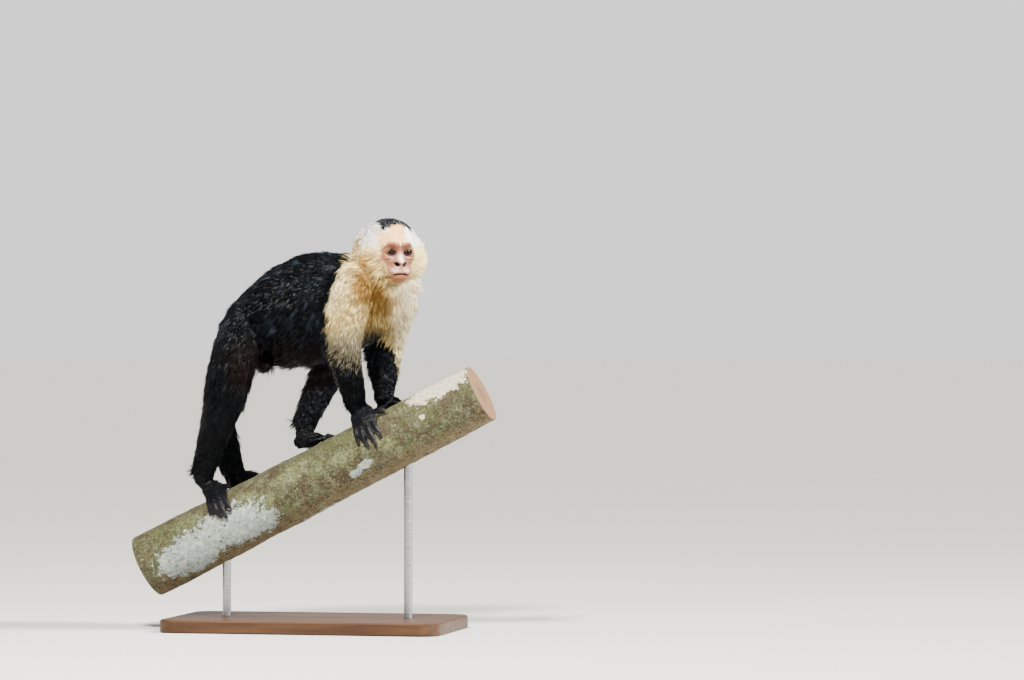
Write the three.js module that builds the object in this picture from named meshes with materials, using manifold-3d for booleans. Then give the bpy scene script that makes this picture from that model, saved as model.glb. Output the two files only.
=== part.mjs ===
// A white-faced capuchin, life size: a black-coated monkey with a cream head, chest and
// shoulders. It walks up a sloping branch on all fours, its tail goes down behind it and round
// the far side of the branch, and it has turned its head to its right to look outwards.
// The branch is a short cut length on a plain stand of a flat base and two rods.
//
// Units are millimetres. X runs uphill, the way the animal walks, Y to the animal's left and Z
// up. The origin is the middle of the underside of the base. Every size of the body is taken at
// the tips of the coat.
import * as THREE from "three";
import { mergeVertices } from "three/addons/utils/BufferGeometryUtils.js";
import Module from "manifold-3d";

const wasm = await Module();
wasm.setup();

const GAP = 0.3; // left between neighbouring solids
const vec = (x, y, z) => new THREE.Vector3(x, y, z);
const rad = THREE.MathUtils.degToRad;
const lerp = THREE.MathUtils.lerp;

// ---------------------------------------------------------------- driving dimensions

const base = { length: 400, width: 220, height: 18, corner: 24, bevel: 2 };

const rods = { radius: 6, sides: 16, places: { stand_rod_rear: -128, stand_rod_front: 134 } };

const branch = {
  slope: 27, // degrees above level
  height: 210, // of its axis over the origin
  low: -272, // where it is cut, along the axis from the origin
  high: 268,
  radiusLow: 46,
  radiusHigh: 41.5,
  swelling: 0.035, // share of the radius by which knots and hollows stand out
  sides: 18,
  rings: 10,
};

// The middle line of each limb: inside the trunk, shoulder or hip, elbow or knee, and wrist or
// ankle.
const joints = {
  right_arm: [vec(72, -14, 500), vec(68, -42, 484), vec(56, -58, 402), vec(64, -20, 318)],
  left_arm: [vec(98, 6, 506), vec(108, 32, 480), vec(86, 66, 396), vec(94, 22, 330)],
  right_leg: [vec(-88, -12, 452), vec(-101, -28, 424), vec(-114, -43, 330), vec(-157, -10, 216)],
  left_leg: [vec(-100, 12, 438), vec(-84, 28, 428), vec(8, 58, 386), vec(-17, 14, 284)],
};

// The head turns about Z from the way the animal walks. Its own axes are forward through the
// face, left and up, and its places are counted from the point midway between the eyes.
const head = {
  eyes: vec(127, -40, 528),
  turn: -58, // degrees
  eyeRadius: 8.8,
  eyeSpacing: 25.6,
  detail: 7,
  crowding: 0.4, // how far the mesh is gathered towards the face, from 0 to 1
};

const ear = { forward: -35, out: 38, up: -2, height: 17, width: 13, depth: 5, swing: 38 };

// ---------------------------------------------------------------- solids and cuts

function solidOf(geometry) {
  const bare = geometry.index ? geometry.toNonIndexed() : geometry.clone();
  for (const name of ["normal", "uv"]) bare.deleteAttribute(name);
  const merged = mergeVertices(bare, 1e-4);
  return new wasm.Manifold(
    new wasm.Mesh({
      numProp: 3,
      vertProperties: merged.attributes.position.array,
      triVerts: new Uint32Array(merged.index.array),
    }),
  );
}

function geometryOf(solid) {
  const mesh = solid.getMesh();
  const geometry = new THREE.BufferGeometry();
  geometry.setAttribute("position", new THREE.BufferAttribute(mesh.vertProperties, 3));
  geometry.setIndex(new THREE.BufferAttribute(mesh.triVerts, 1));
  const faceted = geometry.toNonIndexed();
  faceted.computeVertexNormals();
  return faceted;
}

const join = (first, ...others) => others.reduce((whole, other) => whole.add(other), first);
const cut = (solid, ...cutters) => cutters.reduce((left, cutter) => left.subtract(cutter), solid);

// The largest piece that a cut has left.
const largest = (solid) => solid.decompose().sort((a, b) => b.volume() - a.volume())[0];

// The part of a solid that lies beyond a plane, half a gap clear of it.
function beyond(solid, point, normal) {
  const unit = normal.clone().normalize();
  return solid.trimByPlane(unit.toArray(), unit.dot(point) + GAP / 2);
}

// ---------------------------------------------------------------- lofted bodies

// One ring of a loft. It reaches wide to either side of the middle, over towards the back of
// the trunk or the front of a limb, and under the opposite way.
const ring = (at, wide, over = wide, under = over) => ({ at, wide, over, under });

// A closed body through rings. The side vector says which way wide is measured. The body can be
// grown all round, and only the stretch from one share of its length to another can be made.
function loft(rings, side, options = {}) {
  const { sides = 14, steps = 3, grow = 0, from = 0, to = 1, swell = () => 1 } = options;
  const middle = new THREE.CatmullRomCurve3(rings.map((r) => r.at));
  const size = new THREE.CatmullRomCurve3(rings.map((r) => vec(r.wide, r.over, r.under)));
  const count = Math.max(2, Math.round((rings.length - 1) * steps * (to - from)));
  const places = [];
  for (let i = 0; i <= count; i++) {
    const t = lerp(from, to, i / count);
    const along = middle.getTangent(t);
    const across = side.clone().addScaledVector(along, -side.dot(along)).normalize();
    const out = along.clone().cross(across);
    const centre = middle.getPoint(t);
    if (i === 0) centre.addScaledVector(along, from > 0 ? GAP / 2 : -grow);
    if (i === count) centre.addScaledVector(along, to < 1 ? -GAP / 2 : grow);
    const { x: wide, y: over, z: under } = size.getPoint(t);
    for (let k = 0; k < sides; k++) {
      const angle = (2 * Math.PI * k) / sides;
      const reach = (Math.sin(angle) > 0 ? over : under) + grow;
      const swollen = swell(t, angle);
      places.push(
        centre
          .clone()
          .addScaledVector(across, (wide + grow) * swollen * Math.cos(angle))
          .addScaledVector(out, reach * swollen * Math.sin(angle)),
      );
    }
    if (i === 0 || i === count) places.push(centre.clone());
  }
  return solidOf(skinOver(places, count, sides));
}

// Joins the rings of a loft with triangles and closes both ends on their middles. The first
// ring's middle follows that ring, and the last ring's middle ends the list.
function skinOver(places, count, sides) {
  const at = (i, k) => i * sides + (i > 0 ? 1 : 0) + (k % sides);
  const faces = [];
  for (let k = 0; k < sides; k++) {
    faces.push(sides, at(0, k + 1), at(0, k));
    faces.push(places.length - 1, at(count, k), at(count, k + 1));
    for (let i = 0; i < count; i++) {
      faces.push(at(i, k), at(i, k + 1), at(i + 1, k + 1));
      faces.push(at(i, k), at(i + 1, k + 1), at(i + 1, k));
    }
  }
  const geometry = new THREE.BufferGeometry().setFromPoints(places);
  geometry.setIndex(faces);
  return geometry;
}

// ---------------------------------------------------------------- branch and stand

const uphill = vec(Math.cos(rad(branch.slope)), 0, Math.sin(rad(branch.slope)));
const offBark = vec(-uphill.z, 0, uphill.x); // square to the axis, out of the top of the branch
const branchShare = (s) => (s - branch.low) / (branch.high - branch.low);
const branchRadius = (s) => lerp(branch.radiusLow, branch.radiusHigh, branchShare(s));
const onAxis = (s) => vec(0, 0, branch.height).addScaledVector(uphill, s);

// A point on the branch: how far uphill, how many degrees from the top of the branch towards
// the animal's right, and how high off the bark.
function grip(s, around, high) {
  const reach = branchRadius(s) + high;
  return onAxis(s)
    .addScaledVector(offBark, reach * Math.cos(rad(around)))
    .addScaledVector(vec(0, -1, 0), reach * Math.sin(rad(around)));
}

// Bark that swells over old knots, more on some sides of the branch than on others.
function knotty(t, angle) {
  const waves = Math.sin(9 * t + 2 * angle) + Math.sin(17 * t - angle) + Math.cos(5 * t + 3 * angle);
  return 1 + (branch.swelling * waves) / 3;
}

function branchSolid(grow = 0) {
  const ends = [branch.low, 0, branch.high];
  const rings = ends.map((s) => ring(onAxis(s), branchRadius(s)));
  const steps = branch.rings / (ends.length - 1);
  return loft(rings, vec(0, 1, 0), { sides: branch.sides, steps, grow, swell: knotty });
}

function baseSolid() {
  const { length, width, height, corner, bevel } = base;
  const [x, y] = [length / 2 - bevel, width / 2 - bevel];
  const outline = new THREE.Shape();
  outline.absarc(x - corner, y - corner, corner, 0, Math.PI / 2);
  outline.absarc(corner - x, y - corner, corner, Math.PI / 2, Math.PI);
  outline.absarc(corner - x, corner - y, corner, Math.PI, 1.5 * Math.PI);
  outline.absarc(x - corner, corner - y, corner, 1.5 * Math.PI, 2 * Math.PI);
  const plate = new THREE.ExtrudeGeometry(outline, {
    depth: height - 2 * bevel,
    bevelThickness: bevel,
    bevelSize: bevel,
    bevelSegments: 1,
    curveSegments: 4,
  });
  return solidOf(plate.translate(0, 0, bevel));
}

function rodSolid(x) {
  const foot = base.height + GAP;
  const top = branch.height + x * Math.tan(rad(branch.slope));
  const rod = new THREE.CylinderGeometry(rods.radius, rods.radius, top - foot, rods.sides);
  return solidOf(rod.rotateX(Math.PI / 2).translate(x, 0, (top + foot) / 2));
}

// ---------------------------------------------------------------- head

// A place in the head's own axes, as a point of the part.
const headTurn = new THREE.Quaternion().setFromAxisAngle(vec(0, 0, 1), rad(head.turn));
const inHead = (forward, left, up) => vec(forward, left, up).applyQuaternion(headTurn).add(head.eyes);

// The rounded masses of the head: middle, and reach forwards, sideways and up.
const masses = [
  { name: "braincase", at: vec(-41, 0, 8), reach: vec(47, 44, 41) },
  { name: "cheek ruff", at: vec(-30, 0, -13), reach: vec(30, 50, 33) },
  { name: "nape", at: vec(-58, 0, -14), reach: vec(32, 38, 34) },
  { name: "face", at: vec(-13, 0, -6), reach: vec(20, 27, 30) },
  { name: "muzzle", at: vec(-3, 0, -28), reach: vec(19, 18, 13) },
  { name: "nose", at: vec(7, 0, -15), reach: vec(10, 8, 7) },
  { name: "bridge", at: vec(2, 0, -4), reach: vec(8, 5, 12) },
  { name: "brow", at: vec(-2, 0, 12), reach: vec(10, 21, 6) },
  { name: "chin", at: vec(-6, 0, -39), reach: vec(15, 15, 9) },
];
const blendWidth = 7; // over which neighbouring masses melt together

function smoothLeast(a, b) {
  const share = Math.max(blendWidth - Math.abs(a - b), 0) / blendWidth;
  return Math.min(a, b) - (share * share * blendWidth) / 4;
}

// How far a point in the head's axes is from the surface, negative inside.
function headDistance(p) {
  return masses.reduce((least, { at, reach }) => {
    const q = p.clone().sub(at);
    const unit = q.clone().divide(reach);
    const slope = unit.clone().divide(reach).length();
    const distance = slope > 0 ? (unit.length() * (unit.length() - 1)) / slope : -reach.x;
    return smoothLeast(least, distance);
  }, Infinity);
}

// Every ray from the middle of the head meets its surface once, so a ball of rays gives the
// whole of it. The rays are gathered towards the face, where the small shapes are.
function headSolid(grow = 0, detail = head.detail) {
  const middle = vec(-36, 0, 0);
  const farthest = 90;
  const face = vec(0.93, 0, -0.36).normalize();
  const ball = mergeVertices(bareBall(1, detail), 1e-5);
  const place = ball.attributes.position;
  for (let i = 0; i < place.count; i++) {
    const ray = vec().fromBufferAttribute(place, i).normalize();
    const away = face.angleTo(ray);
    const axis = face.clone().cross(ray).normalize();
    if (axis.length() > 0.5) ray.copy(face).applyAxisAngle(axis, away - head.crowding * Math.sin(away));
    let reach = farthest;
    for (let step = 0; step < 60; step++) {
      reach -= 0.7 * (headDistance(middle.clone().addScaledVector(ray, reach)) - grow);
    }
    const surface = middle.clone().addScaledVector(ray, reach);
    place.setXYZ(i, ...inHead(surface.x, surface.y, surface.z).toArray());
  }
  return solidOf(ball);
}

function bareBall(radius, detail) {
  const ball = new THREE.IcosahedronGeometry(radius, detail);
  for (const name of ["normal", "uv"]) ball.deleteAttribute(name);
  return ball;
}

function eyeSolid(left, grow = 0) {
  const { x, y, z } = inHead(0, (left * head.eyeSpacing) / 2, 0);
  return solidOf(bareBall(head.eyeRadius + grow, 2).translate(x, y, z));
}

// A shell of the ear, so much larger and so far forward of the ear itself.
function earShell(left, scale, forward) {
  const ball = new THREE.SphereGeometry(1, 8, 6);
  ball.scale(ear.depth * scale, ear.width * scale, ear.height * scale);
  ball.translate(forward, 0, 0);
  ball.rotateZ(left * rad(ear.swing));
  ball.translate(ear.forward, left * ear.out, ear.up);
  ball.applyQuaternion(headTurn).translate(...head.eyes.toArray());
  return solidOf(ball);
}

// The ear is a shallow cup that opens forwards. It sits in a hollow of the head's coat.
const earSolid = (left) => cut(earShell(left, 1, 0), earShell(left, 0.86, 3));
const earHollow = (left) => join(earShell(left, 1.08, 0), earShell(left, 1, 3));

// ---------------------------------------------------------------- trunk, neck and tail

const leftwards = vec(0, 1, 0);

const spine = [
  ring(vec(-141, 0, 396), 12, 8, 12),
  ring(vec(-134, 0, 406), 28, 12, 28),
  ring(vec(-117, 0, 424), 42, 21, 44),
  ring(vec(-91, 2, 440), 51, 37, 58),
  ring(vec(-52, 6, 447), 56, 65, 80),
  ring(vec(-8, 11, 453), 58, 77, 84),
  ring(vec(38, 9, 462), 58, 73, 76),
  ring(vec(74, 0, 474), 55, 60, 68),
  ring(vec(100, -12, 482), 46, 44, 56),
  ring(vec(116, -20, 484), 26, 24, 34),
];
const waist = vec(-6, 0, 450); // the last rib, where the belly parts from the chest

// The ruff of the neck, from inside the chest to inside the head, and where it parts from the
// chest.
const ruff = [
  ring(vec(80, -4, 462), 46, 40, 40),
  ring(vec(92, -9, 492), 48, 44, 44),
  ring(vec(104, -11, 522), 44, 40, 42),
];
const collar = { at: vec(88, -6, 498), towards: vec(0.55, -0.15, 0.82) };

function torsoSolid(grow = 0) {
  const trunk = loft(spine, leftwards, { sides: 14, steps: 1.6, grow });
  return join(trunk, loft(ruff, leftwards, { sides: 12, steps: 2, grow }));
}

// The scrotum of the grown male, two small lobes below the belly between the thighs.
function scrotumSolid() {
  const lobes = [-1, 1].map((side) => {
    const lobe = bareBall(9, 1).scale(1.1, 0.9, 1.25).translate(-73, 3 + side * 8, 373);
    return solidOf(lobe);
  });
  return join(...lobes);
}

// From the rump down behind the right leg, over the far side of the branch and uphill along it.
const tail = [
  ring(vec(-118, 2, 424), 22),
  ring(vec(-131, 8, 390), 20),
  ring(vec(-140, 14, 350), 19),
  ring(vec(-141, 18, 305), 18),
  ring(vec(-135, 21, 262), 17.5),
  ring(grip(-107, -20, 19), 17),
  ring(grip(-92, -52, 17.5), 16.5),
  ring(grip(-60, -84, 16), 15.5),
  ring(grip(-18, -106, 14.5), 14),
  ring(grip(28, -115, 12.5), 12),
  ring(grip(70, -116, 11), 10.5),
  ring(grip(96, -116, 8), 7),
  ring(grip(104, -116, 5), 2.5),
];
const tailLengths = { tail_base: [0, 0.34], tail_middle: [0.34, 0.64], tail_tip: [0.64, 1] };

// ---------------------------------------------------------------- limbs

// Shares of a limb are counted 0 inside the trunk, 1 at the shoulder or hip, 2 at the elbow or
// knee and 3 at the wrist or ankle. Each entry gives the share and how far the coat reaches:
// sideways, forwards, back.
const armSizes = [
  [0.0, 16, 14, 14],
  [0.5, 28, 26, 26],
  [1.0, 33, 34, 36],
  [1.5, 31, 31, 35],
  [2.0, 26, 25, 31],
  [2.4, 21, 22, 24],
  [2.75, 17, 18, 18],
  [3.0, 14, 15, 15],
];
const legSizes = [
  [0.0, 18, 16, 8],
  [0.5, 27, 30, 16],
  [1.0, 32, 40, 27],
  [1.5, 30, 34, 33],
  [2.0, 24, 26, 33],
  [2.4, 19, 19, 27],
  [2.75, 14, 15, 24],
  [3.0, 12, 13, 20],
];

function limb(line, sizes, options) {
  const path = new THREE.CatmullRomCurve3(line);
  const rings = sizes.map(([share, wide, front, back]) =>
    ring(path.getPoint(share / 3), wide, front, back),
  );
  return loft(rings, leftwards, { sides: 12, steps: 1.5, ...options });
}

const upperEnd = 4 / 7; // share of a limb's rings at which the elbow or knee parts it

// ---------------------------------------------------------------- hands and feet

// A hand or foot lies across the branch, its digits down one side and its thumb or great toe
// uphill. Places are given as grip takes them, for the right side, from s uphill of the middle.
// Each hand and foot lies so many degrees further over its side of the branch.
const hand = {
  palm: [
    { s: -2, around: 2, high: 14, wide: 14, thick: 11 },
    { s: 0, around: 20, high: 10.5, wide: 18, thick: 10 },
    { s: 2, around: 38, high: 7.5, wide: 20, thick: 7.5 },
    { s: 2, around: 50, high: 6, wide: 18, thick: 6 },
  ],
  digits: [
    { s: -13, spread: -17, from: 44, to: 74, radius: 4.2 },
    { s: -4.5, spread: -7, from: 47, to: 86, radius: 4.6 },
    { s: 4.5, spread: 6, from: 47, to: 90, radius: 4.7 },
    { s: 13, spread: 18, from: 44, to: 80, radius: 4.4 },
  ],
  thumb: { s: 8, around: 22, reach: 28, swing: 15, radius: 5.2 },
};
const foot = {
  palm: [
    { s: -16, around: -22, high: 13, wide: 9, thick: 9 },
    { s: -11, around: -9, high: 14, wide: 13, thick: 12.5 },
    { s: -4, around: 9, high: 11, wide: 15, thick: 11.5 },
    { s: 2, around: 28, high: 7.5, wide: 17, thick: 7.5 },
    { s: 2, around: 44, high: 6, wide: 17, thick: 6 },
  ],
  digits: [
    { s: -11, spread: -10, from: 38, to: 68, radius: 4.3 },
    { s: -3.5, spread: -2, from: 41, to: 78, radius: 4.7 },
    { s: 4.5, spread: 7, from: 41, to: 82, radius: 4.8 },
    { s: 13, spread: 17, from: 38, to: 74, radius: 4.6 },
  ],
  thumb: { s: 10, around: 12, reach: 31, swing: 8, radius: 5.6 },
};
const places = {
  right_hand: { shape: hand, s: 106, flip: 1, over: 0, limb: "right_arm" },
  left_hand: { shape: hand, s: 138, flip: -1, over: 12, limb: "left_arm" },
  right_foot: { shape: foot, s: -132, flip: 1, over: 2, limb: "right_leg" },
  left_foot: { shape: foot, s: 22, flip: -1, over: 8, limb: "left_leg" },
};

// A digit that bends over the bark and narrows to its nail.
function digitSolid(points, radius, side) {
  const shares = [1.05, 1, 1.04, 0.86, 0.4];
  const rings = shares.map((share, i) => ring(points[i], radius * share));
  return loft(rings, side, { sides: 5, steps: 1 });
}

function extremity({ shape, s: middle, flip, over, limb: name }) {
  const side = uphill.clone().multiplyScalar(flip);
  const put = (s, around, high) => grip(middle + s, flip * (around + over), high);
  const [, , bend, wrist] = joints[name];
  const towards = wrist.clone().sub(bend).normalize();
  const cuff = ring(wrist.clone().addScaledVector(towards, -6), 14, 13, 13);
  const back = loft(
    shape.palm.map((p) => ring(put(p.s, p.around, p.high), p.wide, p.thick)),
    side,
    { sides: 8, steps: 1 },
  );
  const first = shape.palm[shape === foot ? 2 : 1];
  const root = ring(put(first.s, first.around, first.high), 12, 10, 10);
  const between = ring(wrist.clone().addScaledVector(towards, 8), 13, 12, 12);
  const stem = loft([cuff, between, root], side, { sides: 8, steps: 1 });
  const fingers = shape.digits.map(({ s, spread, from, to, radius }) => {
    const lifts = [radius, radius + 2.5, radius + 2, radius, radius - 0.6];
    const line = lifts.map((high, i) => {
      const share = i / (lifts.length - 1);
      return put(lerp(s, spread, share), lerp(from, to, share ** 0.9), high);
    });
    return digitSolid(line, radius, side);
  });
  const { s, around, reach, swing, radius } = shape.thumb;
  const thumbLine = [0, 0.35, 0.68, 0.9, 1].map((share) =>
    put(s + reach * share, around + swing * share, radius + 2.5 * Math.sin(Math.PI * share)),
  );
  const thumb = digitSolid(thumbLine, radius, vec(0, 1, 0));
  return join(back, stem, thumb, ...fingers);
}

// ---------------------------------------------------------------- assembly

const colours = {
  coat_black: ["#17151a", 0.6],
  coat_cream: ["#e2cfa6", 0.8],
  coat_face: ["#d9a78b", 0.7],
  skin_dark: ["#201d1f", 0.6],
  eye: ["#2a1710", 0.1],
  bark: ["#8d8a72", 0.95],
  stand_board: ["#3a2418", 0.4],
  stand_steel: ["#9a9ca0", 0.3],
};

const capuchin = new THREE.Group();
function show(name, solid, colour) {
  const [hex, roughness] = colours[colour];
  const metalness = colour === "stand_steel" ? 1 : 0;
  const material = new THREE.MeshStandardMaterial({ color: hex, roughness, metalness });
  const mesh = new THREE.Mesh(geometryOf(solid), material);
  mesh.name = name;
  capuchin.add(mesh);
}

const bark = branchSolid(GAP);
const skull = headSolid(5 * GAP, 5);
const torso = torsoSolid(GAP);

show("stand_base", baseSolid(), "stand_board");
for (const [name, x] of Object.entries(rods.places)) show(name, cut(rodSolid(x), bark), "stand_steel");
show("perch_branch", branchSolid(), "bark");

const hollows = [1, -1].flatMap((left) => [eyeSolid(left, GAP), earHollow(left)]);
show("head", cut(headSolid(), ...hollows), "coat_face");
for (const [side, left] of [["right", -1], ["left", 1]]) {
  show(`${side}_eye`, eyeSolid(left), "eye");
  show(`${side}_ear`, largest(cut(earSolid(left), torso)), "coat_face");
}

const body = cut(torsoSolid(), skull);
const ribs = beyond(body, collar.at, collar.towards.clone().negate());
const headwards = vec(1, 0, 0);
show("neck", largest(beyond(body, collar.at, collar.towards)), "coat_cream");
show("chest", largest(beyond(ribs, waist, headwards)), "coat_black");
show("belly", beyond(ribs, waist, headwards.clone().negate()), "coat_black");
show("scrotum", largest(cut(scrotumSolid(), torso)), "skin_dark");

const legs = ["right_leg", "left_leg"].map((name) => limb(joints[name], legSizes, { grow: GAP }));
for (const [name, [from, to]] of Object.entries(tailLengths)) {
  const length = loft(tail, leftwards, { sides: 10, steps: 2, from, to });
  show(name, largest(cut(length, torso, bark, ...legs)), "coat_black");
}

for (const [name, place] of Object.entries(places)) {
  const line = joints[place.limb];
  const isArm = place.shape === hand;
  const sizes = isArm ? armSizes : legSizes;
  const [, , bend, wrist] = line;
  const onwards = wrist.clone().sub(bend);
  const [upper, lower] = isArm ? ["upper_arm", "forearm"] : ["thigh", "shank"];
  const side = name.split("_")[0];
  const root = limb(line, sizes, { to: upperEnd });
  show(`${side}_${upper}`, largest(cut(root, torso, skull)), isArm ? "coat_cream" : "coat_black");
  const end = limb(line, sizes, { from: upperEnd });
  const held = beyond(end, wrist, onwards.clone().negate());
  show(`${side}_${lower}`, largest(cut(held, torso)), "coat_black");
  const grasp = beyond(extremity(place), wrist, onwards);
  show(name, largest(cut(grasp, bark)), "skin_dark");
}

export default capuchin;
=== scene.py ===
# A white-faced capuchin walking up a cut length of branch, dressed for the museum case.
# The frame gives every place; sizes below are millimetres unless a comment says otherwise, and
# MM turns them to the scene's metres.
import heapq
import math

import bmesh
import bpy
import numpy as np
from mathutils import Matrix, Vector, kdtree, noise
from mathutils.bvhtree import BVHTree


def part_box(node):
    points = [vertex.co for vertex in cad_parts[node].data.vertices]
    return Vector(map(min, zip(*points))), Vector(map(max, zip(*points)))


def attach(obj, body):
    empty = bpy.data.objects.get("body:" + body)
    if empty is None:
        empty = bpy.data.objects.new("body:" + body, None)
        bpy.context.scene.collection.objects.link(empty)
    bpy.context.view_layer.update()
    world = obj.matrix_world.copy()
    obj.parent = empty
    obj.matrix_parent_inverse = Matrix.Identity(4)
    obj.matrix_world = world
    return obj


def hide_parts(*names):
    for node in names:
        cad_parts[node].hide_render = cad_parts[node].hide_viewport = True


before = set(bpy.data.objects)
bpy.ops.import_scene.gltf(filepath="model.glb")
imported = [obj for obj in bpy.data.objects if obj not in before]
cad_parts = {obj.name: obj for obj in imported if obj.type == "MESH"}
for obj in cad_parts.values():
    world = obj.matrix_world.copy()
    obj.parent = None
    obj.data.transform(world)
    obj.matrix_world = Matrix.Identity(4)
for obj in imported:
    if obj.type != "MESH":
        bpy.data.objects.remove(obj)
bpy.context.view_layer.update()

MM = 0.001
VIEW = math.radians(12)  # how far the animal is turned from a square side view
UP = np.array([0.0, 0.0, 1.0])
SEEN_RIGHT = (0.978, 0.208, 0.0)  # the ways to the right and to the front as it is seen
SEEN_FRONT = (0.208, -0.978, 0.0)
SIDES = ("right", "left")
LIMBS = ("upper_arm", "forearm", "hand", "thigh", "shank", "foot")
FLESH = ["head", "right_ear", "left_ear", "neck", "chest", "belly", "scrotum"]
FLESH += ["tail_base", "tail_middle", "tail_tip"]
FLESH += [f"{side}_{limb}" for side in SIDES for limb in LIMBS]


# ---------------------------------------------------------------- small tools


def linear(hex_colour):
    """A colour written as #rrggbb, as the linear red, green and blue that shaders work in."""
    parts = [int(hex_colour[i : i + 2], 16) / 255 for i in (1, 3, 5)]
    return np.array([p / 12.92 if p <= 0.04045 else ((p + 0.055) / 1.055) ** 2.4 for p in parts])


def colour(hex_colour):
    return (*linear(hex_colour), 1.0)


def step(low, high, x):
    """0 up to low, 1 from high on, smooth between. It falls instead where low is above high."""
    t = np.clip((x - low) / (high - low), 0, 1)
    return t * t * (3 - 2 * t)


def mix(a, b, share):
    """Blends a to b by share, which may be one number for each point or colour."""
    a, b, share = (np.asarray(part, float) for part in (a, b, share))
    if share.ndim == 1 and (a.shape[-1:] == (3,) or b.shape[-1:] == (3,)):
        share = share[:, None]
    return a * (1 - share) + b * share


def tinted(shade, hex_colour, share):
    """A colour drawn towards another by share."""
    return mix(shade, linear(hex_colour), share)


def unit(v):
    return v / np.maximum(np.linalg.norm(v, axis=-1, keepdims=True), 1e-9)


def middle(name):
    low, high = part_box(name)
    return np.array((low + high) / 2)


def fine_noise(points, scale, seed=0, octaves=3):
    """Cloudy noise from -1 to 1 at points in metres, its clouds about scale millimetres wide."""
    placed = points / (scale * MM) + seed * 17.3
    return np.array([noise.fractal(p, 0.9, 2.0, octaves) for p in placed.tolist()])


# ---------------------------------------------------------------- objects, and meshes as arrays


def placed(name, data):
    """A new object in the scene."""
    made = bpy.data.objects.new(name, data)
    bpy.context.scene.collection.objects.link(made)
    return made


def baked_down(source):
    """The plain mesh that an object's modifiers make of it. The object itself goes."""
    shape = source.evaluated_get(bpy.context.evaluated_depsgraph_get())
    made = bpy.data.meshes.new_from_object(shape)
    source.modifiers.clear()
    bpy.data.objects.remove(source)
    return made


def face_outwards(mesh):
    """Turns the faces of a closed mesh outwards."""
    mend = bmesh.new()
    mend.from_mesh(mesh)
    bmesh.ops.recalc_face_normals(mend, faces=mend.faces)
    mend.to_mesh(mesh)
    mend.free()


def carry(mesh, name, values):
    """Gives a mesh a number for each vertex, for its material to read."""
    layer = mesh.attributes.new(name, "FLOAT", "POINT")
    layer.data.foreach_set("value", values.astype(np.float32))


def mesh_object(name, vertices, faces, smooth=True):
    """A new object from arrays. Faces is (count, 3) or (count, 4)."""
    mesh = bpy.data.meshes.new(name)
    corners = faces.shape[1]
    mesh.vertices.add(len(vertices))
    mesh.vertices.foreach_set("co", np.ascontiguousarray(vertices, np.float32).ravel())
    mesh.loops.add(faces.size)
    mesh.loops.foreach_set("vertex_index", np.ascontiguousarray(faces, np.int32).ravel())
    mesh.polygons.add(len(faces))
    mesh.polygons.foreach_set("loop_start", np.arange(len(faces), dtype=np.int32) * corners)
    mesh.update(calc_edges=True)
    mesh.polygons.foreach_set("use_smooth", np.full(len(faces), smooth))
    made = placed(name, mesh)
    return made


def vertices_of(mesh):
    flat = np.empty(len(mesh.vertices) * 3, np.float32)
    mesh.vertices.foreach_get("co", flat)
    return flat.reshape(-1, 3).astype(float)


def triangles_of(mesh):
    mesh.calc_loop_triangles()
    flat = np.empty(len(mesh.loop_triangles) * 3, np.int32)
    mesh.loop_triangles.foreach_get("vertices", flat)
    return flat.reshape(-1, 3)


def edges_of(mesh):
    flat = np.empty(len(mesh.edges) * 2, np.int32)
    mesh.edges.foreach_get("vertices", flat)
    return flat.reshape(-1, 2)


def vertex_normals(points, triangles):
    a, b, c = (points[triangles[:, k]] for k in range(3))
    across = np.cross(b - a, c - a)
    total = np.zeros_like(points)
    for k in range(3):
        for axis in range(3):
            total[:, axis] += np.bincount(triangles[:, k], across[:, axis], len(points))
    return unit(total)


def neighbour_mean(values, edges, count):
    """Each vertex's mean over its neighbours."""
    flat = values.reshape(count, -1)
    total = np.zeros_like(flat)
    for a, b in ((0, 1), (1, 0)):
        for k in range(flat.shape[1]):
            total[:, k] += np.bincount(edges[:, a], flat[edges[:, b], k], count)
    degree = np.bincount(edges.ravel(), minlength=count)
    return (total / np.maximum(degree, 1)[:, None]).reshape(values.shape)


def faired(points, edges, rounds, strength):
    """Points smoothed over the mesh without the shape growing thinner."""
    for _ in range(rounds):
        points = smoothed(points, edges, 1, strength)
        points = smoothed(points, edges, 1, -1.03 * strength)
    return points


def smoothed(values, edges, rounds, strength=0.5):
    """Values spread over the mesh, by a strength that may differ from vertex to vertex."""
    count = len(values)
    for _ in range(rounds):
        values = mix(values, neighbour_mean(values, edges, count), strength)
    return values


# ---------------------------------------------------------------- the head's own axes

EYES = {side: middle(f"{side}_eye") for side in SIDES}
TO_LEFT = unit(EYES["left"] - EYES["right"])
TO_FRONT = np.cross(TO_LEFT, UP)
# The features sit a little further round the head, and lower, than the plain solids of the eyes.
EYES = {side: eye + (TO_LEFT * 2.6 - UP * 0.7) * MM for side, eye in EYES.items()}
FACE = (EYES["right"] + EYES["left"]) / 2
HEAD_AXES = np.array([TO_FRONT, TO_LEFT, UP])
EYE_OUT = np.linalg.norm(EYES["left"] - FACE) / MM
EYE_BALL = {"radius": 8.2, "back": 2.0}


def in_head(points):
    """Forward, left and up from the point midway between the eyes, in millimetres."""
    return (points - FACE) @ HEAD_AXES.T / MM


def from_head(places):
    return np.asarray(places, float) * MM @ HEAD_AXES + FACE


# ---------------------------------------------------------------- the skin

VOXEL = 1.25
KEEP = 0.1  # the share of the trunk's remeshed faces that stays: the flat ones go first
SWELL = 0.45  # solids grow this much so that they melt together
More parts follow.
